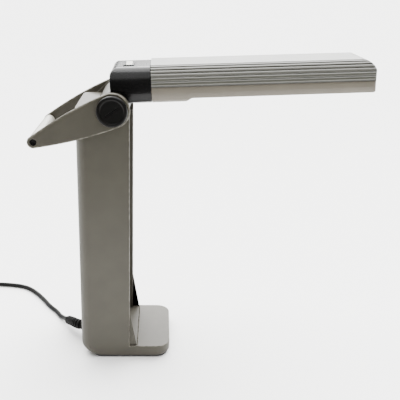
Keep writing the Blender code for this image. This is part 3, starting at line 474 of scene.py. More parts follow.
def lathe(profile, steps=72, closed=False):
    """A turned solid about Z, from (radius, height) points."""
    rings = []
    for radius, height in profile:
        count = steps if radius > 1e-6 else 1
        turns = [2 * pi * i / count for i in range(count)]
        rings.append([(radius * cos(a), radius * sin(a), height) for a in turns])
    return loft(rings, closed)


def facing(origin, way):
    """A frame at a point whose Z axis points along way."""
    turn = Vector(way).to_track_quat("Z", "Y").to_matrix().to_4x4()
    return Matrix.Translation(origin) @ turn


def moved(obj, matrix):
    """Move the mesh itself, and leave the object at the origin."""
    obj.data.transform(matrix)
    obj.data.update()
    return obj


def bore(start, end, radius, steps=48):
    """A round cutter from one point to another."""
    start, end = Vector(start), Vector(end)
    rod = lathe([(0, 0), (radius, 0), (radius, (end - start).length), (0, (end - start).length)],
                steps)
    return moved(rod, facing(start, end - start))


print("mesh tools: loft, plate, lathe, bore")

# %% [markdown]
# Real mouldings have no razor edges. The Bevel modifier rounds the edges, chosen here by their
# angle and, where it matters, by their place, and it marks the rounded faces with a second material
# index. That mark becomes the attribute that the edge wear reads, the same mask that paints the
# highlight on the warm grey rims.

# %% Booleans and rounded edges
def settle(obj):
    """Turn the modifiers into the mesh."""
    bpy.context.view_layer.update()
    evaluated = obj.evaluated_get(bpy.context.evaluated_depsgraph_get())
    mesh = bpy.data.meshes.new_from_object(evaluated)
    obj.modifiers.clear()
    old, obj.data = obj.data, mesh
    bpy.data.meshes.remove(old)
    return obj


def combine(obj, tools, operation):
    """Exact Booleans, one tool after another; the tools are used up."""
    for tool in tools:
        mod = obj.modifiers.new("combine", "BOOLEAN")
        mod.operation = operation
        mod.solver = "EXACT"
        mod.object = tool
        settle(obj)
        bpy.data.objects.remove(tool, do_unlink=True)
    return obj


def cut(obj, *tools):
    return combine(obj, tools, "DIFFERENCE")


def common(obj, *tools):
    return combine(obj, tools, "INTERSECT")


def fuse(obj, *tools):
    return combine(obj, tools, "UNION")


def round_edges(obj, width, segments=3, above=35, where=None):
    """Round the edges whose faces turn by more than an angle, and whose middle passes a test."""
    bm = bmesh.new()
    bm.from_mesh(obj.data)
    bmesh.ops.remove_doubles(bm, verts=bm.verts, dist=0.00001)
    bmesh.ops.dissolve_degenerate(bm, edges=bm.edges, dist=0.00001)
    weight = bm.edges.layers.float.get("bevel_weight_edge") or bm.edges.layers.float.new(
        "bevel_weight_edge")
    for edge in bm.edges:
        turned = len(edge.link_faces) == 2 and edge.calc_face_angle(0.0) > radians(above)
        middle = (edge.verts[0].co + edge.verts[1].co) / 2
        edge[weight] = float(turned and (where is None or where(middle)))
    bm.to_mesh(obj.data)
    bm.free()
    mod = obj.modifiers.new("round", "BEVEL")
    mod.width = width
    mod.segments = segments
    mod.limit_method = "WEIGHT"
    mod.use_clamp_overlap = False
    mod.material = 1
    return settle(obj)


print("edge tools: cut, common, fuse, round_edges")

# %% Hand a finished piece to the frame
def present(obj, name, mat, body, nodes, matrix=None, sharp=40):
    """Shade a finished mesh, put it in place, and say which solids it stands for."""
    if matrix:
        moved(obj, matrix)
    mesh = obj.data
    wear_and_highlight_edges = [float(face.material_index == 1) for face in mesh.polygons]
    if "wear_and_highlight_edges" not in mesh.attributes:
        mesh.attributes.new("wear_and_highlight_edges", "FLOAT", "FACE")
    mesh.attributes["wear_and_highlight_edges"].data.foreach_set("value", wear_and_highlight_edges)
    mesh.polygons.foreach_set("material_index", [0] * len(wear_and_highlight_edges))
    mesh.materials.clear()
    mesh.materials.append(mat)
    mesh.shade_smooth()
    mesh.set_sharp_from_angle(angle=radians(sharp))
    obj.modifiers.new("flat_faces", "TRIANGULATE")
    normals = obj.modifiers.new("normals", "WEIGHTED_NORMAL")
    normals.keep_sharp = True
    settle(obj)
    obj.name = obj.data.name = name
    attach(obj, body)
    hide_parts(*nodes)
    print(f"{name}: {len(obj.data.polygons)} faces, for {', '.join(nodes)}")
    return obj


def refine(node, mat, width=0.0002):
    """Keep a solid of the frame, with softened edges, smooth round faces and a full finish."""
    obj = frame["nodes"][node]
    obj.data.materials.clear()
    obj.data.materials.append(mat)
    weld = obj.modifiers.new("weld", "WELD")
    weld.merge_threshold = 0.00001
    soften = obj.modifiers.new("soften", "BEVEL")
    soften.width = width
    soften.segments = 2
    soften.limit_method = "ANGLE"
    soften.angle_limit = radians(40)
    obj.data.shade_smooth()
    normals = obj.modifiers.new("normals", "WEIGHTED_NORMAL")
    normals.keep_sharp = True
    return obj


print("ready to present pieces")

# %% [markdown]
# ## The cord
# The mains cord leaves the ribbed strain relief, drops to the table and runs off behind the column.
# Its spare length is wound as for storage: a neat coil of two layers. The first layer spirals in on
# the table, the cord climbs to the second layer and spirals out in the grooves of the first. Each
# turn keeps its radius for most of the way round and moves over by one cord in a third of a turn,
# so that neighbouring turns stay a cord apart everywhere.

# %% Route of the free cord
CORD_DIAMETER = 0.0062
LIE = 0.0032                     # height of the centreline when the cord lies on the table
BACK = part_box("stand_shell")[0].x
CORD_ROUTE = [(BACK - 0.0312, 0.0273, 0.0094), (BACK - 0.0365, 0.0365, 0.0058),
              (BACK - 0.0435, 0.0470, 0.0034), (-0.1100, 0.0590, LIE), (-0.1235, 0.0765, LIE),
              (-0.1375, 0.0985, LIE), (-0.1520, 0.1180, LIE), (-0.1650, 0.1310, LIE),
              (-0.1780, 0.1385, LIE), (-0.1960, 0.1430, LIE), (-0.2140, 0.1450, LIE),
              (-0.2290, 0.1453, LIE), (-0.2432, 0.1453, LIE), (-0.2560, 0.1453, LIE)]
print("free cord ends at the coil, at", CORD_ROUTE[-1])

# %% Turns of the coil
PITCH_OF_TURNS = CORD_DIAMETER * 1.03
COIL_MIDDLE = 0.0372             # radius at the middle of the turns
OUTER_TURN = COIL_MIDDLE + 1.5 * PITCH_OF_TURNS
COIL_CENTRE = (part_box("cord_coil")[0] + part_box("cord_coil")[1]) / 2
LAYER_STEP = 0.0055              # from the first layer up to the second
HUMP = 0.0009                    # more, where a turn crosses another
BOTTOM_TURNS, ALL_TURNS = 4, 6.25
POINTS_PER_TURN = 24


def ease(t):
    """0 to 1 with a gentle start and end."""
    return 0.5 - 0.5 * cos(pi * min(max(t, 0.0), 1.0))


def bump(t):
    """A hump over 0 to 1, level outside it."""
    return sin(pi * min(max(t, 0.0), 1.0))


def coil_point(turns):
    """Centreline after some turns, counted from the far side of the coil, against the clock."""
    whole = int(turns)
    crossing, moving_in = (turns - whole) * 3 - 1, (turns - whole) * 3 - 2
    climb_turn = BOTTOM_TURNS - 1
    if whole < climb_turn:
        radius = OUTER_TURN - PITCH_OF_TURNS * (whole + ease(moving_in))
        height = LIE
    elif whole == climb_turn:
        radius = (OUTER_TURN - PITCH_OF_TURNS * climb_turn
                  + PITCH_OF_TURNS / 2 * ease(2 * crossing - 1))
        height = LIE + LAYER_STEP * ease(crossing) + HUMP * bump(moving_in)
    else:
        out = whole - BOTTOM_TURNS + ease(crossing)
        radius = OUTER_TURN - PITCH_OF_TURNS * (climb_turn - 0.5 - out)
        height = LIE + LAYER_STEP + HUMP * max(bump(crossing), bump(moving_in))
    angle = pi / 2 + 2 * pi * turns
    return (COIL_CENTRE.x + radius * cos(angle), COIL_CENTRE.y + radius * sin(angle), height)


count = round(ALL_TURNS * POINTS_PER_TURN)
COIL = [coil_point(i / POINTS_PER_TURN) for i in range(count + 1)]
print("coil:", ALL_TURNS, "turns,", len(COIL), "points")

# %% Tail, and the whole centreline
plug_low, plug_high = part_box("plug_body")
PLUG_START = Vector(((plug_low.x + plug_high.x) / 2, plug_high.y, (plug_low.z + plug_high.z) / 2))
TAIL_HEIGHTS = [(0.25, 0.0094), (0.50, 0.0098), (0.70, 0.0092), (0.86, 0.0079)]
TAIL = [(PLUG_START.x, COIL[-1][1] + (PLUG_START.y - COIL[-1][1]) * along, height)
        for along, height in TAIL_HEIGHTS]
TAIL.append((PLUG_START.x, PLUG_START.y + 0.0003, PLUG_START.z))


def length_of(points):
    """Length of a line of points."""
    return sum((q - p).length for p, q in zip(points, points[1:]))


def smooth_line(points, spacing):
    """Evenly spaced points on a smooth curve through given points."""
    pts = [Vector(p) for p in points]
    pts = [2 * pts[0] - pts[1]] + pts + [2 * pts[-1] - pts[-2]]
    dense = []
    for a, b, c, d in zip(pts, pts[1:], pts[2:], pts[3:]):
        for i in range(16):
            t = i / 16
            dense.append(0.5 * (2 * b + (c - a) * t + (2 * a - 5 * b + 4 * c - d) * t * t
                                + (3 * b - a - 3 * c + d) * t ** 3))
    dense.append(pts[-2])
    length = length_of(dense)
    step = length / round(length / spacing)
    line, walked = [dense[0]], 0.0
    for p, q in zip(dense, dense[1:]):
        gap = (q - p).length
        while walked + gap >= step * len(line) and gap > 0:
            line.append(p.lerp(q, (step * len(line) - walked) / gap))
        walked += gap
    if (line[-1] - dense[-1]).length > step / 2:
        line.append(dense[-1])
    line[-1] = dense[-1]
    return line


CENTRELINE = smooth_line(CORD_ROUTE + COIL + TAIL, 0.0026)

# %% Cord
curve = bpy.data.curves.new("cord", "CURVE")
curve.dimensions = "3D"
curve.bevel_depth = CORD_DIAMETER / 2
curve.bevel_resolution = 5
curve.use_fill_caps = True
spline = curve.splines.new("POLY")
spline.points.add(len(CENTRELINE) - 1)
for point, place in zip(spline.points, CENTRELINE):
    point.co = (*place, 1.0)
spline.use_smooth = True
curve.materials.append(CORD_BLACK)
cord = bpy.data.objects.new("mains_lead", curve)
bpy.context.scene.collection.objects.link(cord)
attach(cord, "stand")
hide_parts("mains_cord", "cord_coil")
print("cord piece:", cord.name)

# %% [markdown]
# ### Strain relief
# A soft sleeve that grows thinner away from the housing. Deep grooves let it bend: each rib is a
# short full section and each groove a thin one. It is swept along its own curve, because an Array
# of rings would not follow the bend.

# %% Strain relief
RELIEF_ROUTE = [(BACK + 0.008, -0.010, 0.023), (BACK - 0.004, -0.0100, 0.0228),
                (BACK - 0.011, -0.0055, 0.0215), (BACK - 0.0175, 0.0040, 0.0185),
                (BACK - 0.0245, 0.0155, 0.0140), (BACK - 0.0310, 0.0270, 0.0095)]
ROOT_LENGTH, ROOT_RADIUS = 0.0083, 0.0058
FLANGE_LENGTH, FLANGE_RADIUS = 0.0022, 0.0078
RELIEF_BASE, RELIEF_TIP, RELIEF_NECK = 0.0070, 0.0064, 0.0040
RIB_PITCH, RIB_SHARE, GROOVE_DEPTH, RIBBED_SHARE = 0.0038, 0.48, 0.40, 0.80


def sweep(line, radius_at, sides=28):
    """A round tube along a line; radius_at gives the radius after a length."""
    rings, walked = [], 0.0
    across = None
    for i, here in enumerate(line):
        ahead = line[min(i + 1, len(line) - 1)] - line[max(i - 1, 0)]
        ahead.normalize()
        if across is None:
            across = ahead.orthogonal()
        across = (across - ahead * across.dot(ahead)).normalized()
        over = ahead.cross(across)
        if i:
            walked += (here - line[i - 1]).length
        radius = radius_at(walked)
        rings.append([here + radius * (cos(a) * across + sin(a) * over)
                      for a in (2 * pi * k / sides for k in range(sides))])
    return loft(rings)


def relief_radius(walked):
    """Root in the wall, flange against it, ribs on a slight taper, then a neck round the cord."""
    if walked < ROOT_LENGTH:
        return ROOT_RADIUS
    if walked < ROOT_LENGTH + FLANGE_LENGTH:
        return FLANGE_RADIUS
    along = (walked - ROOT_LENGTH - FLANGE_LENGTH) / (relief_length - ROOT_LENGTH - FLANGE_LENGTH)
    taper = RELIEF_BASE + (RELIEF_TIP - RELIEF_BASE) * along / RIBBED_SHARE
    place = ((walked - ROOT_LENGTH - FLANGE_LENGTH) / RIB_PITCH) % 1.0
    groove = ease((place - RIB_SHARE) / 0.10) - ease((place - 0.90) / 0.10)
    ribbed = taper * (1 - GROOVE_DEPTH * groove)
    return ribbed + (RELIEF_NECK - ribbed) * ease((along - RIBBED_SHARE) / 0.015)


relief_line = smooth_line(RELIEF_ROUTE, 0.00035)
relief_length = length_of(relief_line)
relief = round_edges(sweep(relief_line, relief_radius), 0.0003, 2, 50)
present(relief, "cord_sleeve", CORD_BLACK, "stand", ["strain_relief"], sharp=35)
print("sleeve:", round(relief_length * 1000), "mm long")

# %% [markdown]
# ### Plug
# A flat two-pin plug with a waist behind its shoulders, where fingers pull. It is a loft of rounded
# sections along its length, which gives the soft change from round cord to flat body.

# %% Plug
PLUG_SECTIONS = [(0.0, 0.0042, 0.0042), (0.0010, 0.0048, 0.0048), (0.0080, 0.0056, 0.0052),
                 (0.0130, 0.0088, 0.0058), (0.0175, 0.0125, 0.0063), (0.0225, 0.0148, 0.0067),
                 (0.0270, 0.0152, 0.0068), (0.0300, 0.0146, 0.0066), (0.0330, 0.0160, 0.0068),
                 (0.0352, 0.0165, 0.0067), (0.0360, 0.0158, 0.0060)]


def soft_box(half_wide, half_high, power=3.2, count=48):
    """A rounded rectangle as a superellipse."""
    points = []
    for i in range(count):
        c, s = cos(2 * pi * i / count), sin(2 * pi * i / count)
        points.append((half_wide * abs(c) ** (2 / power) * (1 if c >= 0 else -1),
                       half_high * abs(s) ** (2 / power) * (1 if s >= 0 else -1)))
    return points


plug_rings = []
for length, wide, high in PLUG_SECTIONS:
    power = 2.0 + 1.8 * min(length / 0.018, 1.0)
    plug_rings.append([(PLUG_START.x + u, PLUG_START.y - length, PLUG_START.z + v)
                       for u, v in soft_box(wide, high, power)])
plug = round_edges(loft(plug_rings), 0.0006, 3, 30)
present(plug, "plug_moulding", MATT_BLACK, "stand", ["plug_body"], sharp=50)
for number in (1, 2):
    low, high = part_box(f"plug_pin_{number}")
    pin_radius, pin_long = (high.x - low.x) / 2, high.y - low.y
    rim = pin_radius * 0.45
    profile = [(0, 0), (pin_radius, 0), (pin_radius, pin_long - rim)]
    profile += [(pin_radius - rim + rim * cos(a), pin_long - rim + rim * sin(a))
                for a in (radians(15 * i) for i in range(1, 7))] + [(0, pin_long)]
    pin = moved(lathe(profile, 32), facing(((low.x + high.x) / 2, high.y, (low.z + high.z) / 2),
                                           (0, -1, 0)))
    present(pin, f"contact_pin_{number}", NICKEL, "stand",
                        [f"plug_pin_{number}"])

# %% [markdown]
# ## Places from the frame
# The hinge is where the head's joint is. The head is tilted up a little, and the rocker's axis runs
# along it, so that joint gives the head's own frame. The handle's frame runs from the grip to the
# hinge. A solid's size in a tilted frame is measured from its points.

# %% Frames of the moving parts
JOINTS = {joint["name"]: joint for joint in frame["joints"]}
HINGE = Vector(JOINTS["head_tilt"]["pos_m"])


def tilted(origin, along):
    """A frame whose X axis points along a direction in the XZ plane."""
    x, y = Vector(along).normalized(), Vector((0, 1, 0))
    return Matrix.Translation(origin) @ Matrix((x, y, x.cross(y))).transposed().to_4x4()


def extent(node, place):
    """Lowest and highest corner of a solid in another frame."""
    points = [place.inverted() @ vertex.co for vertex in frame["nodes"][node].data.vertices]
    return (Vector(min(p[i] for p in points) for i in range(3)),
            Vector(max(p[i] for p in points) for i in range(3)))


grip_low, grip_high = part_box("grip_tube")
HEAD = tilted(HINGE, JOINTS["switch_rock"]["axis"])
HANDLE = tilted(HINGE, HINGE - (grip_low + grip_high) / 2)
print("head tilts up by", round(degrees(asin(HEAD[2][0])), 1), "degrees")

# %% [markdown]
# ## Stand
# One moulding: back wall, two side walls that end in round ears, top plate and foot. Seen from the
# side it is a profile, seen from above a rounded plan, and the two shapes intersected give the outer
# skin. The plan slices draw in towards the table along a quarter circle, which makes the full,
# ball-like corner behind the column. The hollows are cut while every face is still flat, because
# exact Booleans are safest there, and the edges are rounded last: the outer ones most.

# %% Sizes of the stand
WALL = 0.003
stand_low, stand_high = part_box("stand_shell")
HALF = stand_high.y
TOE, SOLE = stand_high.x, stand_low.z
EAR_RADIUS = stand_high.z - HINGE.z
COLUMN_FRONT, COLUMN_TOP = HINGE.x + EAR_RADIUS, HINGE.z
FOOT_TOP = 0.0172
REAR_TUCK, TOE_TUCK, SIDE_TUCK = 0.018, 0.004, 0.0012
REAR_CORNER, TOE_CORNER = 0.013, 0.018
PROUD = 0.001                    # a cutting shape passes the skin by this much
GAP = 0.0003                     # play between two pieces that meet
EDGE = 0.0009
POCKET_BACK, POCKET_DEPTH = HINGE.x - 0.022, 0.03
AXLE_HOLE = 0.0085               # radius of the holes in the ears
LEAD_AT, LEAD_HOLE = (-0.010, 0.023), 0.0063


def tuck(z, radius):
    """How far a quarter circle above the sole has drawn in at one height."""
    below = max(0.0, SOLE + radius - z)
    return radius - sqrt(max(0.0, radius ** 2 - min(below, radius) ** 2))


def plan_at(z, inset=0.0):
    """Plan outline (x, y) of the outer skin at one height."""
    rear, front = BACK + tuck(z, REAR_TUCK) + inset, TOE - tuck(z, TOE_TUCK) - inset
    corner = REAR_CORNER + (REAR_TUCK - REAR_CORNER) * tuck(z, REAR_TUCK) / REAR_TUCK - inset
    toe, half = TOE_CORNER - inset, HALF - inset - tuck(z, SIDE_TUCK)
    return (arc(rear + corner, -half + corner, corner, 180, 270, 14)
            + arc(front - toe, -half + toe, toe, 270, 360, 14)
            + arc(front - toe, half - toe, toe, 0, 90, 14)
            + arc(rear + corner, half - corner, corner, 90, 180, 14))


def stand_side():
    """Side outline (x, z) of column, ramped ears and foot."""
    ramp = EAR_RADIUS * sqrt(2)
    return ([(BACK - PROUD, SOLE), (BACK - PROUD, COLUMN_TOP), (HINGE.x - ramp, COLUMN_TOP)]
            + arc(HINGE.x, HINGE.z, EAR_RADIUS, 135, 0, 36)
            + [(COLUMN_FRONT, FOOT_TOP), (TOE + PROUD, FOOT_TOP), (TOE + PROUD, SOLE)])


print("stand:", [round(1000 * size) for size in stand_high - stand_low], "mm")

# %% Outer skin of the stand
slices = [SOLE - 0.002] + [SOLE + REAR_TUCK * (1 - cos(radians(a))) for a in range(5, 91, 5)]
slices.append(stand_high.z + 0.005)
skin = loft([[(x, y, z) for x, y in plan_at(z)] for z in slices])
stand = common(plate(stand_side(), "y", -2 * HALF, 2 * HALF), skin)
print("skin:", len(stand.data.polygons), "faces")

# %% Hollows of the stand
CHANNEL_FLOOR = HINGE.x + 0.001
inner = HALF - WALL
stand = cut(stand, plate([(POCKET_BACK, COLUMN_TOP + 0.04), (POCKET_BACK, COLUMN_TOP - POCKET_DEPTH),
                          (COLUMN_FRONT + 0.01, COLUMN_TOP - POCKET_DEPTH),
                          (COLUMN_FRONT + 0.01, COLUMN_TOP + 0.04)], "y", -inner, inner))
stand = cut(stand, block((BACK - 0.01, -inner, COLUMN_TOP),
                         (POCKET_BACK + PROUD, inner, COLUMN_TOP + 0.04)))
column = [(x, y) for x, y in plan_at(COLUMN_TOP, WALL) if x < HINGE.x]
middle = len(column) // 2
column[middle:middle] = [(COLUMN_FRONT + 0.01, -inner), (COLUMN_FRONT + 0.01, inner)]
stand = cut(stand, plate(column, "z", FOOT_TOP - 0.0003, COLUMN_TOP - WALL))
base_back = BACK + REAR_TUCK + 0.0003
stand = cut(stand, common(plate(plan_at(COLUMN_TOP, WALL), "z", -0.02, FOOT_TOP - WALL),
                          block((base_back, -1, -0.03), (1, 1, 0.05))))
stand = cut(stand, bore((HINGE.x, -1.5 * HALF, HINGE.z), (HINGE.x, 1.5 * HALF, HINGE.z), AXLE_HOLE),
            bore((BACK - 0.01, *LEAD_AT), (BACK + 0.01, *LEAD_AT), LEAD_HOLE))
print("with its hollows:", len(stand.data.polygons), "faces")

# %% Rounded edges of the stand
def on_skin(point):
    """True on the outer skin, well above the sole."""
    return point.z > SOLE + 0.004 and (abs(point.y) > HALF - 0.0005 or point.x > COLUMN_FRONT + 0.001)


stand = round_edges(stand, EDGE, 3, 60, on_skin)
stand = round_edges(stand, 0.0004, 2, 60)
present(stand, "stand_moulding", WARM_GREY, "stand", ["stand_shell"])

# %% [markdown]
# ### Channel
# A separate lining gives the column its smooth inner channel, with flanges that close the gap to
# the side walls. Its top end curves round behind the barrel of the head like a saddle.

# %% Channel lining
LINER_WALL, LINER_HALF = 0.0022, 0.0478
LIP_BACK, LIP_FRONT = COLUMN_FRONT - 0.0024, COLUMN_FRONT - 0.0004
SADDLE_RADIUS = 0.0215
liner_low, liner_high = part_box("channel_liner")
flange = [(CHANNEL_FLOOR - LINER_WALL, LINER_HALF + LINER_WALL), (LIP_BACK, LINER_HALF + LINER_WALL),
          (LIP_BACK, liner_high.y), (LIP_FRONT, liner_high.y), (LIP_FRONT, LINER_HALF),
          (CHANNEL_FLOOR, LINER_HALF)]
lining = plate(flange + [(x, -y) for x, y in reversed(flange)], "z", liner_low.z,
               HINGE.z - SADDLE_RADIUS - 0.0005)
saddle = (arc(HINGE.x, HINGE.z, SADDLE_RADIUS, 272, 189, 28)
          + arc(HINGE.x, HINGE.z, SADDLE_RADIUS + LINER_WALL, 189, 269, 28))
lining = fuse(lining, plate(saddle, "y", -LINER_HALF - PROUD, LINER_HALF + PROUD))
lining = round_edges(lining, 0.0004, 2, 60, lambda p: p.z < HINGE.z - SADDLE_RADIUS - 0.002)
present(lining, "channel_lining", WARM_GREY, "stand", ["channel_liner"])

# %% [markdown]
# ## Hinge stack
# On each side the axle carries, from the inside out, a nylon bush, a friction washer, a cheek of
# the handle and a turned disc. The near disc is the friction knob, with a coin slot. All are turned
# pieces, drawn as half profiles and revolved.

# %% Bushes and washers
AXLE_BORE = 0.0053
BUSH_FLANGE, BUSH_RADIUS, BUSH_RIM = 0.0130, 0.0082, 0.0003


def on_axle(turned, side, corners, centre=HINGE):
    """Stand a turned piece on an axle across the lamp, from its solid's inner face outwards."""
    start = min(abs(corner.y) for corner in corners)
    return moved(turned, facing((centre.x, side * start, centre.z), (0, side, 0)))


def ring_profile(outer, inner, low, high, rim):
    """Half profile of a ring with broken edges, for closed lathes."""
    return [(inner, low), (outer - rim, low), (outer, low + rim), (outer, high - rim),
            (outer - rim, high), (inner, high)]


for number, side in ((1, -1), (2, 1)):
    low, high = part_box(f"friction_washer_{number}")
    washer = lathe(ring_profile((high.x - low.x) / 2, AXLE_BORE, 0, high.y - low.y, 0.0002), 64, True)
    on_axle(washer, side, (low, high))
    present(washer, f"washer_{number}", MATT_BLACK, "stand",
            [f"friction_washer_{number}"])
    low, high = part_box(f"hinge_bush_{number}")
    flange_end, total = HALF - WALL - GAP - min(abs(low.y), abs(high.y)), high.y - low.y
    bush = lathe([(AXLE_BORE, 0), (BUSH_FLANGE - BUSH_RIM, 0), (BUSH_FLANGE, BUSH_RIM),
                  (BUSH_FLANGE, flange_end - BUSH_RIM), (BUSH_FLANGE - BUSH_RIM, flange_end),
                  (BUSH_RADIUS, flange_end), (BUSH_RADIUS, total - BUSH_RIM),
                  (BUSH_RADIUS - BUSH_RIM, total), (AXLE_BORE, total)], 64, True)
    on_axle(bush, side, (low, high))
    present(bush, f"bush_{number}", NYLON, "stand", [f"hinge_bush_{number}"])

# %% Knob and far cap
knob_low, knob_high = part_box("knob_near")
KNOB_RADIUS, KNOB_THICK = (knob_high.x - knob_low.x) / 2, knob_high.y - knob_low.y


def make_disc(side, slotted):
    """A low turned disc with a raised rim, a shallow dish and, on the knob, a coin slot."""
    r, t = KNOB_RADIUS, KNOB_THICK
    profile = [(0, t - 0.0009), (r - 0.0052, t - 0.0009), (r - 0.0046, t - 0.0007),
               (r - 0.0038, t - 0.0001), (r - 0.0034, t), (r - 0.0020, t), (r - 0.0012, t - 0.0003),
               (r - 0.0004, t - 0.0010), (r, t - 0.0020), (r, 0.0006), (r - 0.0006, 0), (0, 0)]
    disc = lathe(profile, 96)
    disc = cut(disc, bore((0, 0, -0.002), (0, 0, 0.0041), AXLE_BORE))
    if slotted:
        slot = block((-0.0085, -0.0007, t - 0.0019), (0.0085, 0.0007, t + 0.002))
        disc = cut(disc, moved(slot, Matrix.Rotation(radians(35), 4, "Z")))
    return on_axle(round_edges(disc, 0.0002, 2, 50), side, (knob_low, knob_high))


present(make_disc(-1, True), "friction_knob", MATT_BLACK, "knob", ["knob_near"])
present(make_disc(1, False), "far_cap", MATT_BLACK, "stand", ["axle_cap_far"])

# %% [markdown]
# ## Handle
# Two flat teardrop cheeks join the axle to a round grip. Their sides bow outwards, so the width
# falls slowly at first and faster near the grip. The edges have a full rounding, which catches the
# light as a bright rim all the way round, and the moulding's pale edge colour adds a painted
# highlight along it.

# %% Cheeks
cheek_low, cheek_high = extent("handle_cheek_near", HANDLE)
CHEEK_BIG, CHEEK_SMALL = cheek_high.x, 0.0076
HANDLE_LENGTH = -cheek_low.x - CHEEK_SMALL
CHEEK_ROUND = 0.0018             # broad rounding of both rims
ROD_HOLE = 0.0042
BOW = 1.8


def cheek_outline():
    """Teardrop from the hinge back to the grip, in the handle's frame."""
    drop = CHEEK_BIG - CHEEK_SMALL
    side = [(-HANDLE_LENGTH * i / 24, CHEEK_BIG - drop * (i / 24) ** BOW) for i in range(25)]
    lean = degrees(asin(drop * BOW / HANDLE_LENGTH))
    end = arc(-HANDLE_LENGTH, 0, CHEEK_SMALL, 90 + lean, 270 - lean, 20)
    front = arc(0, 0, CHEEK_BIG, -87, 87, 48)
    return front + side + end[1:-1] + [(u, -w) for u, w in reversed(side)]


for node, name, side in (("handle_cheek_near", "near_cheek", -1), ("handle_cheek_far", "far_cheek", 1)):
    low, high = extent(node, HANDLE)
    cheek = plate(cheek_outline(), "y", low.y, high.y)
    cheek = round_edges(cheek, CHEEK_ROUND, 5, 50)
    cheek = cut(cheek, bore((0, -1, 0), (0, 1, 0), AXLE_BORE),
                bore((-HANDLE_LENGTH, -1, 0), (-HANDLE_LENGTH, 1, 0), ROD_HOLE))
    cheek = round_edges(cheek, 0.00035, 2, 70)
    present(cheek, name, WARM_GREY, "handle", [node], HANDLE)

# %% Grip
GRIP_RADIUS, GRIP_BORE, GRIP_RIM = (grip_high.x - grip_low.x) / 2, 0.0033, 0.0008
GRIP_END = Vector((-HANDLE_LENGTH, 0, 0))
grip_half = grip_high.y
profile = [(GRIP_BORE, -grip_half), (GRIP_RADIUS - GRIP_RIM, -grip_half),
           (GRIP_RADIUS, -grip_half + GRIP_RIM)]
for start in (-grip_half + 0.006, grip_half - 0.0084):
    profile += [(GRIP_RADIUS, start), (GRIP_RADIUS - 0.0005, start + 0.0004),
                (GRIP_RADIUS - 0.0005, start + 0.0012), (GRIP_RADIUS, start + 0.0016)]
profile += [(GRIP_RADIUS, grip_half - GRIP_RIM), (GRIP_RADIUS - GRIP_RIM, grip_half),
            (GRIP_BORE, grip_half)]
grip = moved(lathe(profile, 72, True), facing(GRIP_END, (0, 1, 0)))
present(grip, "carry_grip", GRIP_GREY, "handle", ["grip_tube"], HANDLE)
for number, side in ((1, -1), (2, 1)):
    low, high = extent(f"grip_end_cap_{number}", HANDLE)
    radius, thick = (high.x - low.x) / 2, high.y - low.y
    cap = lathe([(0, 0), (radius, 0), (radius, thick - 0.0005), (radius - 0.0005, thick),
                 (radius * 0.62, thick), (radius * 0.5, thick - 0.0008), (0, thick - 0.001)], 48)
    on_axle(cap, side, (low, high), GRIP_END)
    present(cap, f"grip_plug_{number}", GLOSS_BLACK, "handle",
            [f"grip_end_cap_{number}"], HANDLE)

# %% [markdown]
# ## Head
# The head is a long shell in two halves. In section the upper half has a flat top and elliptical
# shoulders, and the lower half tucks under. The ribbed cover runs from the black collar to the tip,
# where its top rolls down and its vertical corners are rounded.

# %% Section of the head
collar_low, collar_high = extent("head_collar", HEAD)
cover_high = extent("shade_cover", HEAD)[1]
lower_low, lower_high = extent("lower_housing", HEAD)
HEAD_HALF = collar_high.y
HEAD_REACH = cover_high.x
SEAM = lower_high.z + GAP
HEAD_BOTTOM = lower_low.z
RIB_HEIGHT = cover_high.y - HEAD_HALF
HEAD_TOP = cover_high.z
SHOULDER = 0.0165                # across the head, from the flat top to the side
RIB_COUNT = 7
GROOVE_CUT = 0.0005              # grooves go this far below the plain shoulder


def shoulder_point(angle, top, half, lift=0.0):
    """A point of the right shoulder: 0 degrees at the seam's side, 90 at the flat top's edge."""
    a, rise = radians(angle), top - SEAM
    normal = Vector((cos(a) / SHOULDER, sin(a) / rise)).normalized()
    return (half - SHOULDER + SHOULDER * cos(a) + normal.x * lift,
            SEAM + rise * sin(a) + normal.y * lift)


def arch(half, top):
    """Plain upper outline (y, z), from the right seam over the top to the left seam."""
    right = [shoulder_point(5 * i, top, half) for i in range(19)]
    return right + [(-y, z) for y, z in reversed(right)]


def ribbed_arch(half, top):
    """Upper outline with long ribs: full rounds with a narrow groove between them."""
    first, last, steps = 2.0, 88.0, 14
    pitch = (last - first) / RIB_COUNT
    right = [shoulder_point(0, top, half)]
    for rib in range(RIB_COUNT):
        for i in range(steps):
            share = i / steps
            round_top = max(0.0, 1 - abs(2 * share - 1) ** 3.2)
            lift = RIB_HEIGHT * round_top - GROOVE_CUT * (1 - round_top)
            right.append(shoulder_point(first + pitch * (rib + share), top, half, lift))
    right.append(shoulder_point(last, top, half))
    right.append(shoulder_point(90, top, half))
    return right + [(-y, z) for y, z in reversed(right)]


def belly(inset=0.0, top=None):
    """Lower outline (y, z), from the left seam under the head to the right seam."""
    side = [(0.0445, SEAM), (0.0444, 0.0195), (0.0440, 0.0160), (0.0432, 0.0125),
            (0.0420, 0.0096), (0.0404, 0.0071), (0.0384, 0.0052), (0.0362, 0.0039),
            (0.0340, HEAD_BOTTOM)]
    side = [(y - inset, max(z, HEAD_BOTTOM + inset)) for y, z in side]
    if top is not None:
        side[0] = (side[0][0], top)
    return [(-y, z) for y, z in side] + list(reversed(side))


print("head:", round(1000 * HEAD_REACH), "mm from the hinge to the tip")

# %% [markdown]
# ### Barrel and collar
# The head turns on a drum between the ears. A glossy black collar sits over the drum and closes the
# back of the shade. Its rear top edge is a broad rounding, and its underside is cut to the drum.

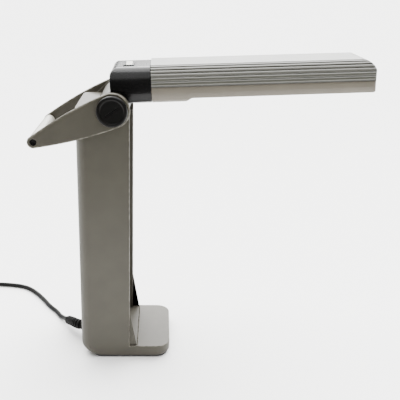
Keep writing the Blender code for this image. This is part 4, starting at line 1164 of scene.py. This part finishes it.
# %% Barrel
BARREL_RADIUS, BARREL_HALF = extent("hinge_barrel", HEAD)[1].xy
barrel = lathe(ring_profile(BARREL_RADIUS, AXLE_BORE, -BARREL_HALF, BARREL_HALF, 0.0006), 96, True)
moved(barrel, facing((0, 0, 0), (0, 1, 0)))
present(barrel, "barrel", WARM_GREY, "head", ["hinge_barrel"], HEAD)

# %% Collar
COLLAR_WALL = 0.0024
COLLAR_TOP, COLLAR_BACK, COLLAR_FRONT = collar_high.z, collar_low.x, collar_high.x
REAR_ROUND = 0.010


def rear_outline(wall=0.0):
    """The collar's rounded back corner seen from the side, drawn in by a wall's thickness."""
    back, front, over = COLLAR_BACK + wall, COLLAR_FRONT + 0.02, COLLAR_TOP + 0.01
    centre = COLLAR_BACK + REAR_ROUND
    return ([(back, -0.01), (front, -0.01), (front, over), (centre, over)]
            + arc(centre, COLLAR_TOP - REAR_ROUND, REAR_ROUND + 0.00005 - wall, 90, 180, 20))


collar = plate(arch(HEAD_HALF, COLLAR_TOP) + belly()[1:-1], "x", COLLAR_BACK - PROUD, COLLAR_FRONT)
collar = common(collar, across(rear_outline()))
collar = round_edges(collar, 0.0008, 3, 40)
inside = arch(HEAD_HALF - COLLAR_WALL, COLLAR_TOP - COLLAR_WALL) + belly(COLLAR_WALL)[1:-1]
room = common(plate(inside, "x", COLLAR_BACK + COLLAR_WALL - PROUD, COLLAR_FRONT + 0.01),
              across(rear_outline(COLLAR_WALL)))
collar = cut(collar, room, bore((0, -HEAD_THROUGH, 0), (0, HEAD_THROUGH, 0),
                                BARREL_RADIUS + GAP, 96))
bezel_low, bezel_high = extent("switch_bezel", HEAD)
SWITCH = Vector(((bezel_low.x + bezel_high.x) / 2, (bezel_low.y + bezel_high.y) / 2, COLLAR_TOP))
SWITCH_LONG, SWITCH_WIDE = 0.0142, 0.0050


def switch_block(grow, low, high):
    """A block as large as the switch's outline, grown all round, between two heights."""
    return block((SWITCH.x - SWITCH_WIDE - grow, SWITCH.y - SWITCH_LONG - grow, low),
                 (SWITCH.x + SWITCH_WIDE + grow, SWITCH.y + SWITCH_LONG + grow, high))


collar = cut(collar, switch_block(0.0012, 0.035, 0.06))
collar = round_edges(collar, 0.0003, 2, 60, lambda p: p.z > SEAM)
present(collar, "collar", GLOSS_BLACK, "head", ["head_collar"], HEAD)

# %% [markdown]
# ### Switch
# A rocker lies across the collar's flat top, in a slim frame. Its top is two gentle slopes, so that
# one end always stands higher. The frame's well is deeper than the rocker's travel.

# %% Switch frame and rocker
bezel = round_edges(switch_block(0.0016, COLLAR_TOP + GAP, COLLAR_TOP + 0.0011), 0.0004, 3, 60)
bezel = fuse(bezel, switch_block(0.0009, COLLAR_TOP - 0.013, COLLAR_TOP + 0.0008))
bezel = cut(bezel, switch_block(-0.0006, COLLAR_TOP - 0.0075, COLLAR_TOP + 0.01))
present(bezel, "switch_frame", GLOSS_BLACK, "head", ["switch_bezel"], HEAD)

ROCKER = (Matrix.Translation(Vector(JOINTS["switch_rock"]["pos_m"])) @ HEAD.to_3x3().to_4x4()
          @ Matrix.Rotation(radians(5), 4, "X"))
rocker_low, rocker_high = extent("switch_rocker", ROCKER)
ROCKER_HALF = rocker_high.y
rocker_top = [(ROCKER_HALF * t, 0.0016 + 0.0008 * abs(t) ** 1.4)
              for t in (1 - i / 12 for i in range(25))]
outline = [(-ROCKER_HALF, rocker_low.z), (ROCKER_HALF, rocker_low.z)] + rocker_top
rocker = round_edges(plate(outline, "x", rocker_low.x, rocker_high.x), 0.0005, 3, 45)
present(rocker, "rocker", GRIP_GREY, "rocker", ["switch_rocker"], ROCKER)

# %% [markdown]
# ### Cover and lower housing
# Both halves share one side profile: the underside steps up where the shade gets thinner, and the
# top rolls down at the tip. Both are cut from a long section by the side profile and by a plan with
# round corners. A shadow gap runs along the seam between them.

# %% Side profile and plan of the shade
SHADE_WALL = 0.002
STEP_FROM, STEP_TO = 0.0855, 0.0960
THIN_BOTTOM = 0.0083
TIP_ROUND, NOSE_ROUND, CORNER_ROUND = 0.016, 0.003, 0.0045


def shade_side(wall=0.0, top=HEAD_TOP):
    """Side outline (x, z) of the shade, drawn in by a wall."""
    start, reach = COLLAR_FRONT - 0.01, HEAD_REACH - wall
    low, thin, nose = HEAD_BOTTOM + wall, THIN_BOTTOM + wall, NOSE_ROUND - wall * 0.4
    step = [(STEP_FROM + (STEP_TO - STEP_FROM) * i / 10, low + (thin - low) * ease(i / 10))
            for i in range(11)]
    return ([(start, low)] + step + arc(reach - nose, thin + nose, nose, -90, 0, 8)
            + arc(reach - TIP_ROUND + wall, top - TIP_ROUND, TIP_ROUND - wall, 0, 90, 28)
            + [(start, top - wall)])


def shade_plan(half):
    """Plan (x, y) of the shade with round corners at the tip."""
    return ([(COLLAR_FRONT - 0.01, -half)]
            + arc(HEAD_REACH - CORNER_ROUND, -half + CORNER_ROUND, CORNER_ROUND, 270, 360, 12)
            + arc(HEAD_REACH - CORNER_ROUND, half - CORNER_ROUND, CORNER_ROUND, 0, 90, 12)
            + [(COLLAR_FRONT - 0.01, half)])


print("shade profile ready")

# %% Ribbed cover
cover_start = COLLAR_FRONT + GAP
cover = plate(ribbed_arch(HEAD_HALF, HEAD_TOP), "x", cover_start, HEAD_REACH + 0.01)
cover = common(cover, across(shade_side()), plate(shade_plan(cover_high.y), "z", 0.0, 0.06))
hollow = arch(HEAD_HALF - SHADE_WALL, HEAD_TOP - SHADE_WALL)
hollow = [(hollow[0][0], SEAM - 0.01)] + hollow + [(hollow[-1][0], SEAM - 0.01)]
hollow = common(plate(hollow, "x", cover_start - 0.01, HEAD_REACH + 0.01),
                across(shade_side(SHADE_WALL)))
cover = cut(cover, hollow)
present(cover, "ribbed_cover", SHADE_GREY, "head", ["shade_cover"], HEAD, sharp=50)

# %% Lower housing
diffuser_low, diffuser_high = extent("diffuser", HEAD)
WINDOW_FROM, WINDOW_TO, WINDOW_HALF = diffuser_low.x + 0.003, diffuser_high.x - 0.003, 0.033
SCREW_HOLE = 0.0018
lip = SEAM - GAP
section = belly(0.0, lip - 0.0010)
section = [(-HEAD_HALF + 0.0009, lip)] + section + [(HEAD_HALF - 0.0009, lip)]
lower = common(plate(section, "x", cover_start, HEAD_REACH + 0.01),
               across(shade_side()), plate(shade_plan(HEAD_HALF + 0.0001), "z", -0.01, 0.06))
well = belly(SHADE_WALL)
well = [(well[0][0], SEAM + 0.01)] + well + [(well[-1][0], SEAM + 0.01)]
well = common(plate(well, "x", cover_start - 0.01, HEAD_REACH + 0.01),
              across(shade_side(SHADE_WALL, HEAD_TOP + 0.02)))
lower = cut(lower, well, block((WINDOW_FROM, -WINDOW_HALF, 0.0), (WINDOW_TO, WINDOW_HALF, 0.02)))
for number in range(1, 5):
    low, high = extent(f"head_screw_{number}", HEAD)
    middle = (low + high) / 2
    lower = cut(lower, bore((middle.x, middle.y, 0.0), (middle.x, middle.y, 0.01), SCREW_HOLE, 32))
lower = round_edges(lower, 0.0003, 2, 60, lambda p: p.z < SEAM - 0.006)
present(lower, "lower_shell", LOWER_GREY, "head", ["lower_housing"], HEAD, sharp=45)

# %% [markdown]
# ### Diffuser and light
# A clear sheet with fine lengthwise prisms closes the window and spreads the light. Behind it are
# the twin tubes of a compact fluorescent lamp, its socket and clip, and a folded white reflector,
# which keep their solids.

# %% Diffuser
PRISM_PITCH, PRISM_DEPTH = 0.002, 0.0004
prisms = round((diffuser_high.y - diffuser_low.y) / PRISM_PITCH)
zigzag = []
for i in range(prisms):
    y = diffuser_low.y + i * PRISM_PITCH
    zigzag += [(y, diffuser_low.z + PRISM_DEPTH), (y + PRISM_PITCH / 2, diffuser_low.z)]
zigzag += [(diffuser_high.y, diffuser_low.z + PRISM_DEPTH), (diffuser_high.y, diffuser_high.z),
           (diffuser_low.y, diffuser_high.z)]
diffuser = plate(zigzag, "x", diffuser_low.x, diffuser_high.x)
present(diffuser, "prism_sheet", CLEAR, "head", ["diffuser"], HEAD, sharp=20)

# %% Screws with a cross recess
def make_screw(node, name, way, body, place):
    """A pan-head screw in the room of its solid: head, recess and shank."""
    low, high = extent(node, place)
    axis = max(range(3), key=lambda i: abs(way[i]))
    across = (axis + 1) % 3
    radius, total = (high[across] - low[across]) / 2, high[axis] - low[axis]
    crown, shank = min(radius * 0.55, total * 0.6), radius * 0.45
    end = crown - total
    profile = [(0, crown)] + [(radius * sin(radians(a)), crown * (0.35 + 0.65 * cos(radians(a))))
                              for a in range(10, 91, 10)]
    profile += [(radius, 0), (shank, 0), (shank, end + shank), (shank * 0.4, end), (0, end)]
    screw = lathe(profile, 40)
    arm, width = radius * 0.55, radius * 0.16
    screw = cut(screw, block((-arm, -width, crown * 0.45), (arm, width, crown + 0.01)),
                block((-width, -arm, crown * 0.45), (width, arm, crown + 0.01)))
    tip = (low + high) / 2
    top = high if way[axis] > 0 else low
    tip[axis] = top[axis] - way[axis] * crown
    moved(screw, facing(tip, way))
    return present(screw, name, ZINC, body, [node], place)


for number in range(1, 5):
    make_screw(f"head_screw_{number}", f"shade_screw_{number}", (0, 0, -1), "head", HEAD)
for number in range(1, 5):
    make_screw(f"base_screw_{number}", f"sole_screw_{number}", (0, 0, -1), "stand", Matrix())
for number in (1, 2):
    make_screw(f"ballast_screw_{number}", f"choke_screw_{number}", (1, 0, 0), "stand", Matrix())

# %% [markdown]
# ## Pieces that keep their solids
# What lies inside and under the lamp has the right shape. Each solid keeps its mesh and gets softened
# edges, smooth round faces and its own finish, through modifiers that leave the mesh as it is.

# %% Kept solids
KEPT = {
    "base_plate": ZINC, "base_pad": RUBBER, "hinge_axle": ZINC, "grip_rod": ZINC,
    "ballast_plate": ZINC, "ballast_core": LAMINATION, "ballast_winding": WINDING,
    "terminal_block": NYLON, "reflector": WHITE, "lamp_tubes": PHOSPHOR, "lamp_cap": NYLON,
    "lampholder": WHITE, "lamp_clip": ZINC,
}
KEPT.update({f"terminal_screw_{number}": NICKEL for number in (1, 2, 3)})
for node, mat in KEPT.items():
    refine(node, mat, 0.0001 if node == "reflector" else 0.0003)
print("kept solids:", len(KEPT))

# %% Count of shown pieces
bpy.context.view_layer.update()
shown = [o for o in bpy.context.scene.objects if o.type in ("MESH", "CURVE") and not o.hide_render]
print("shown pieces:", len(shown))
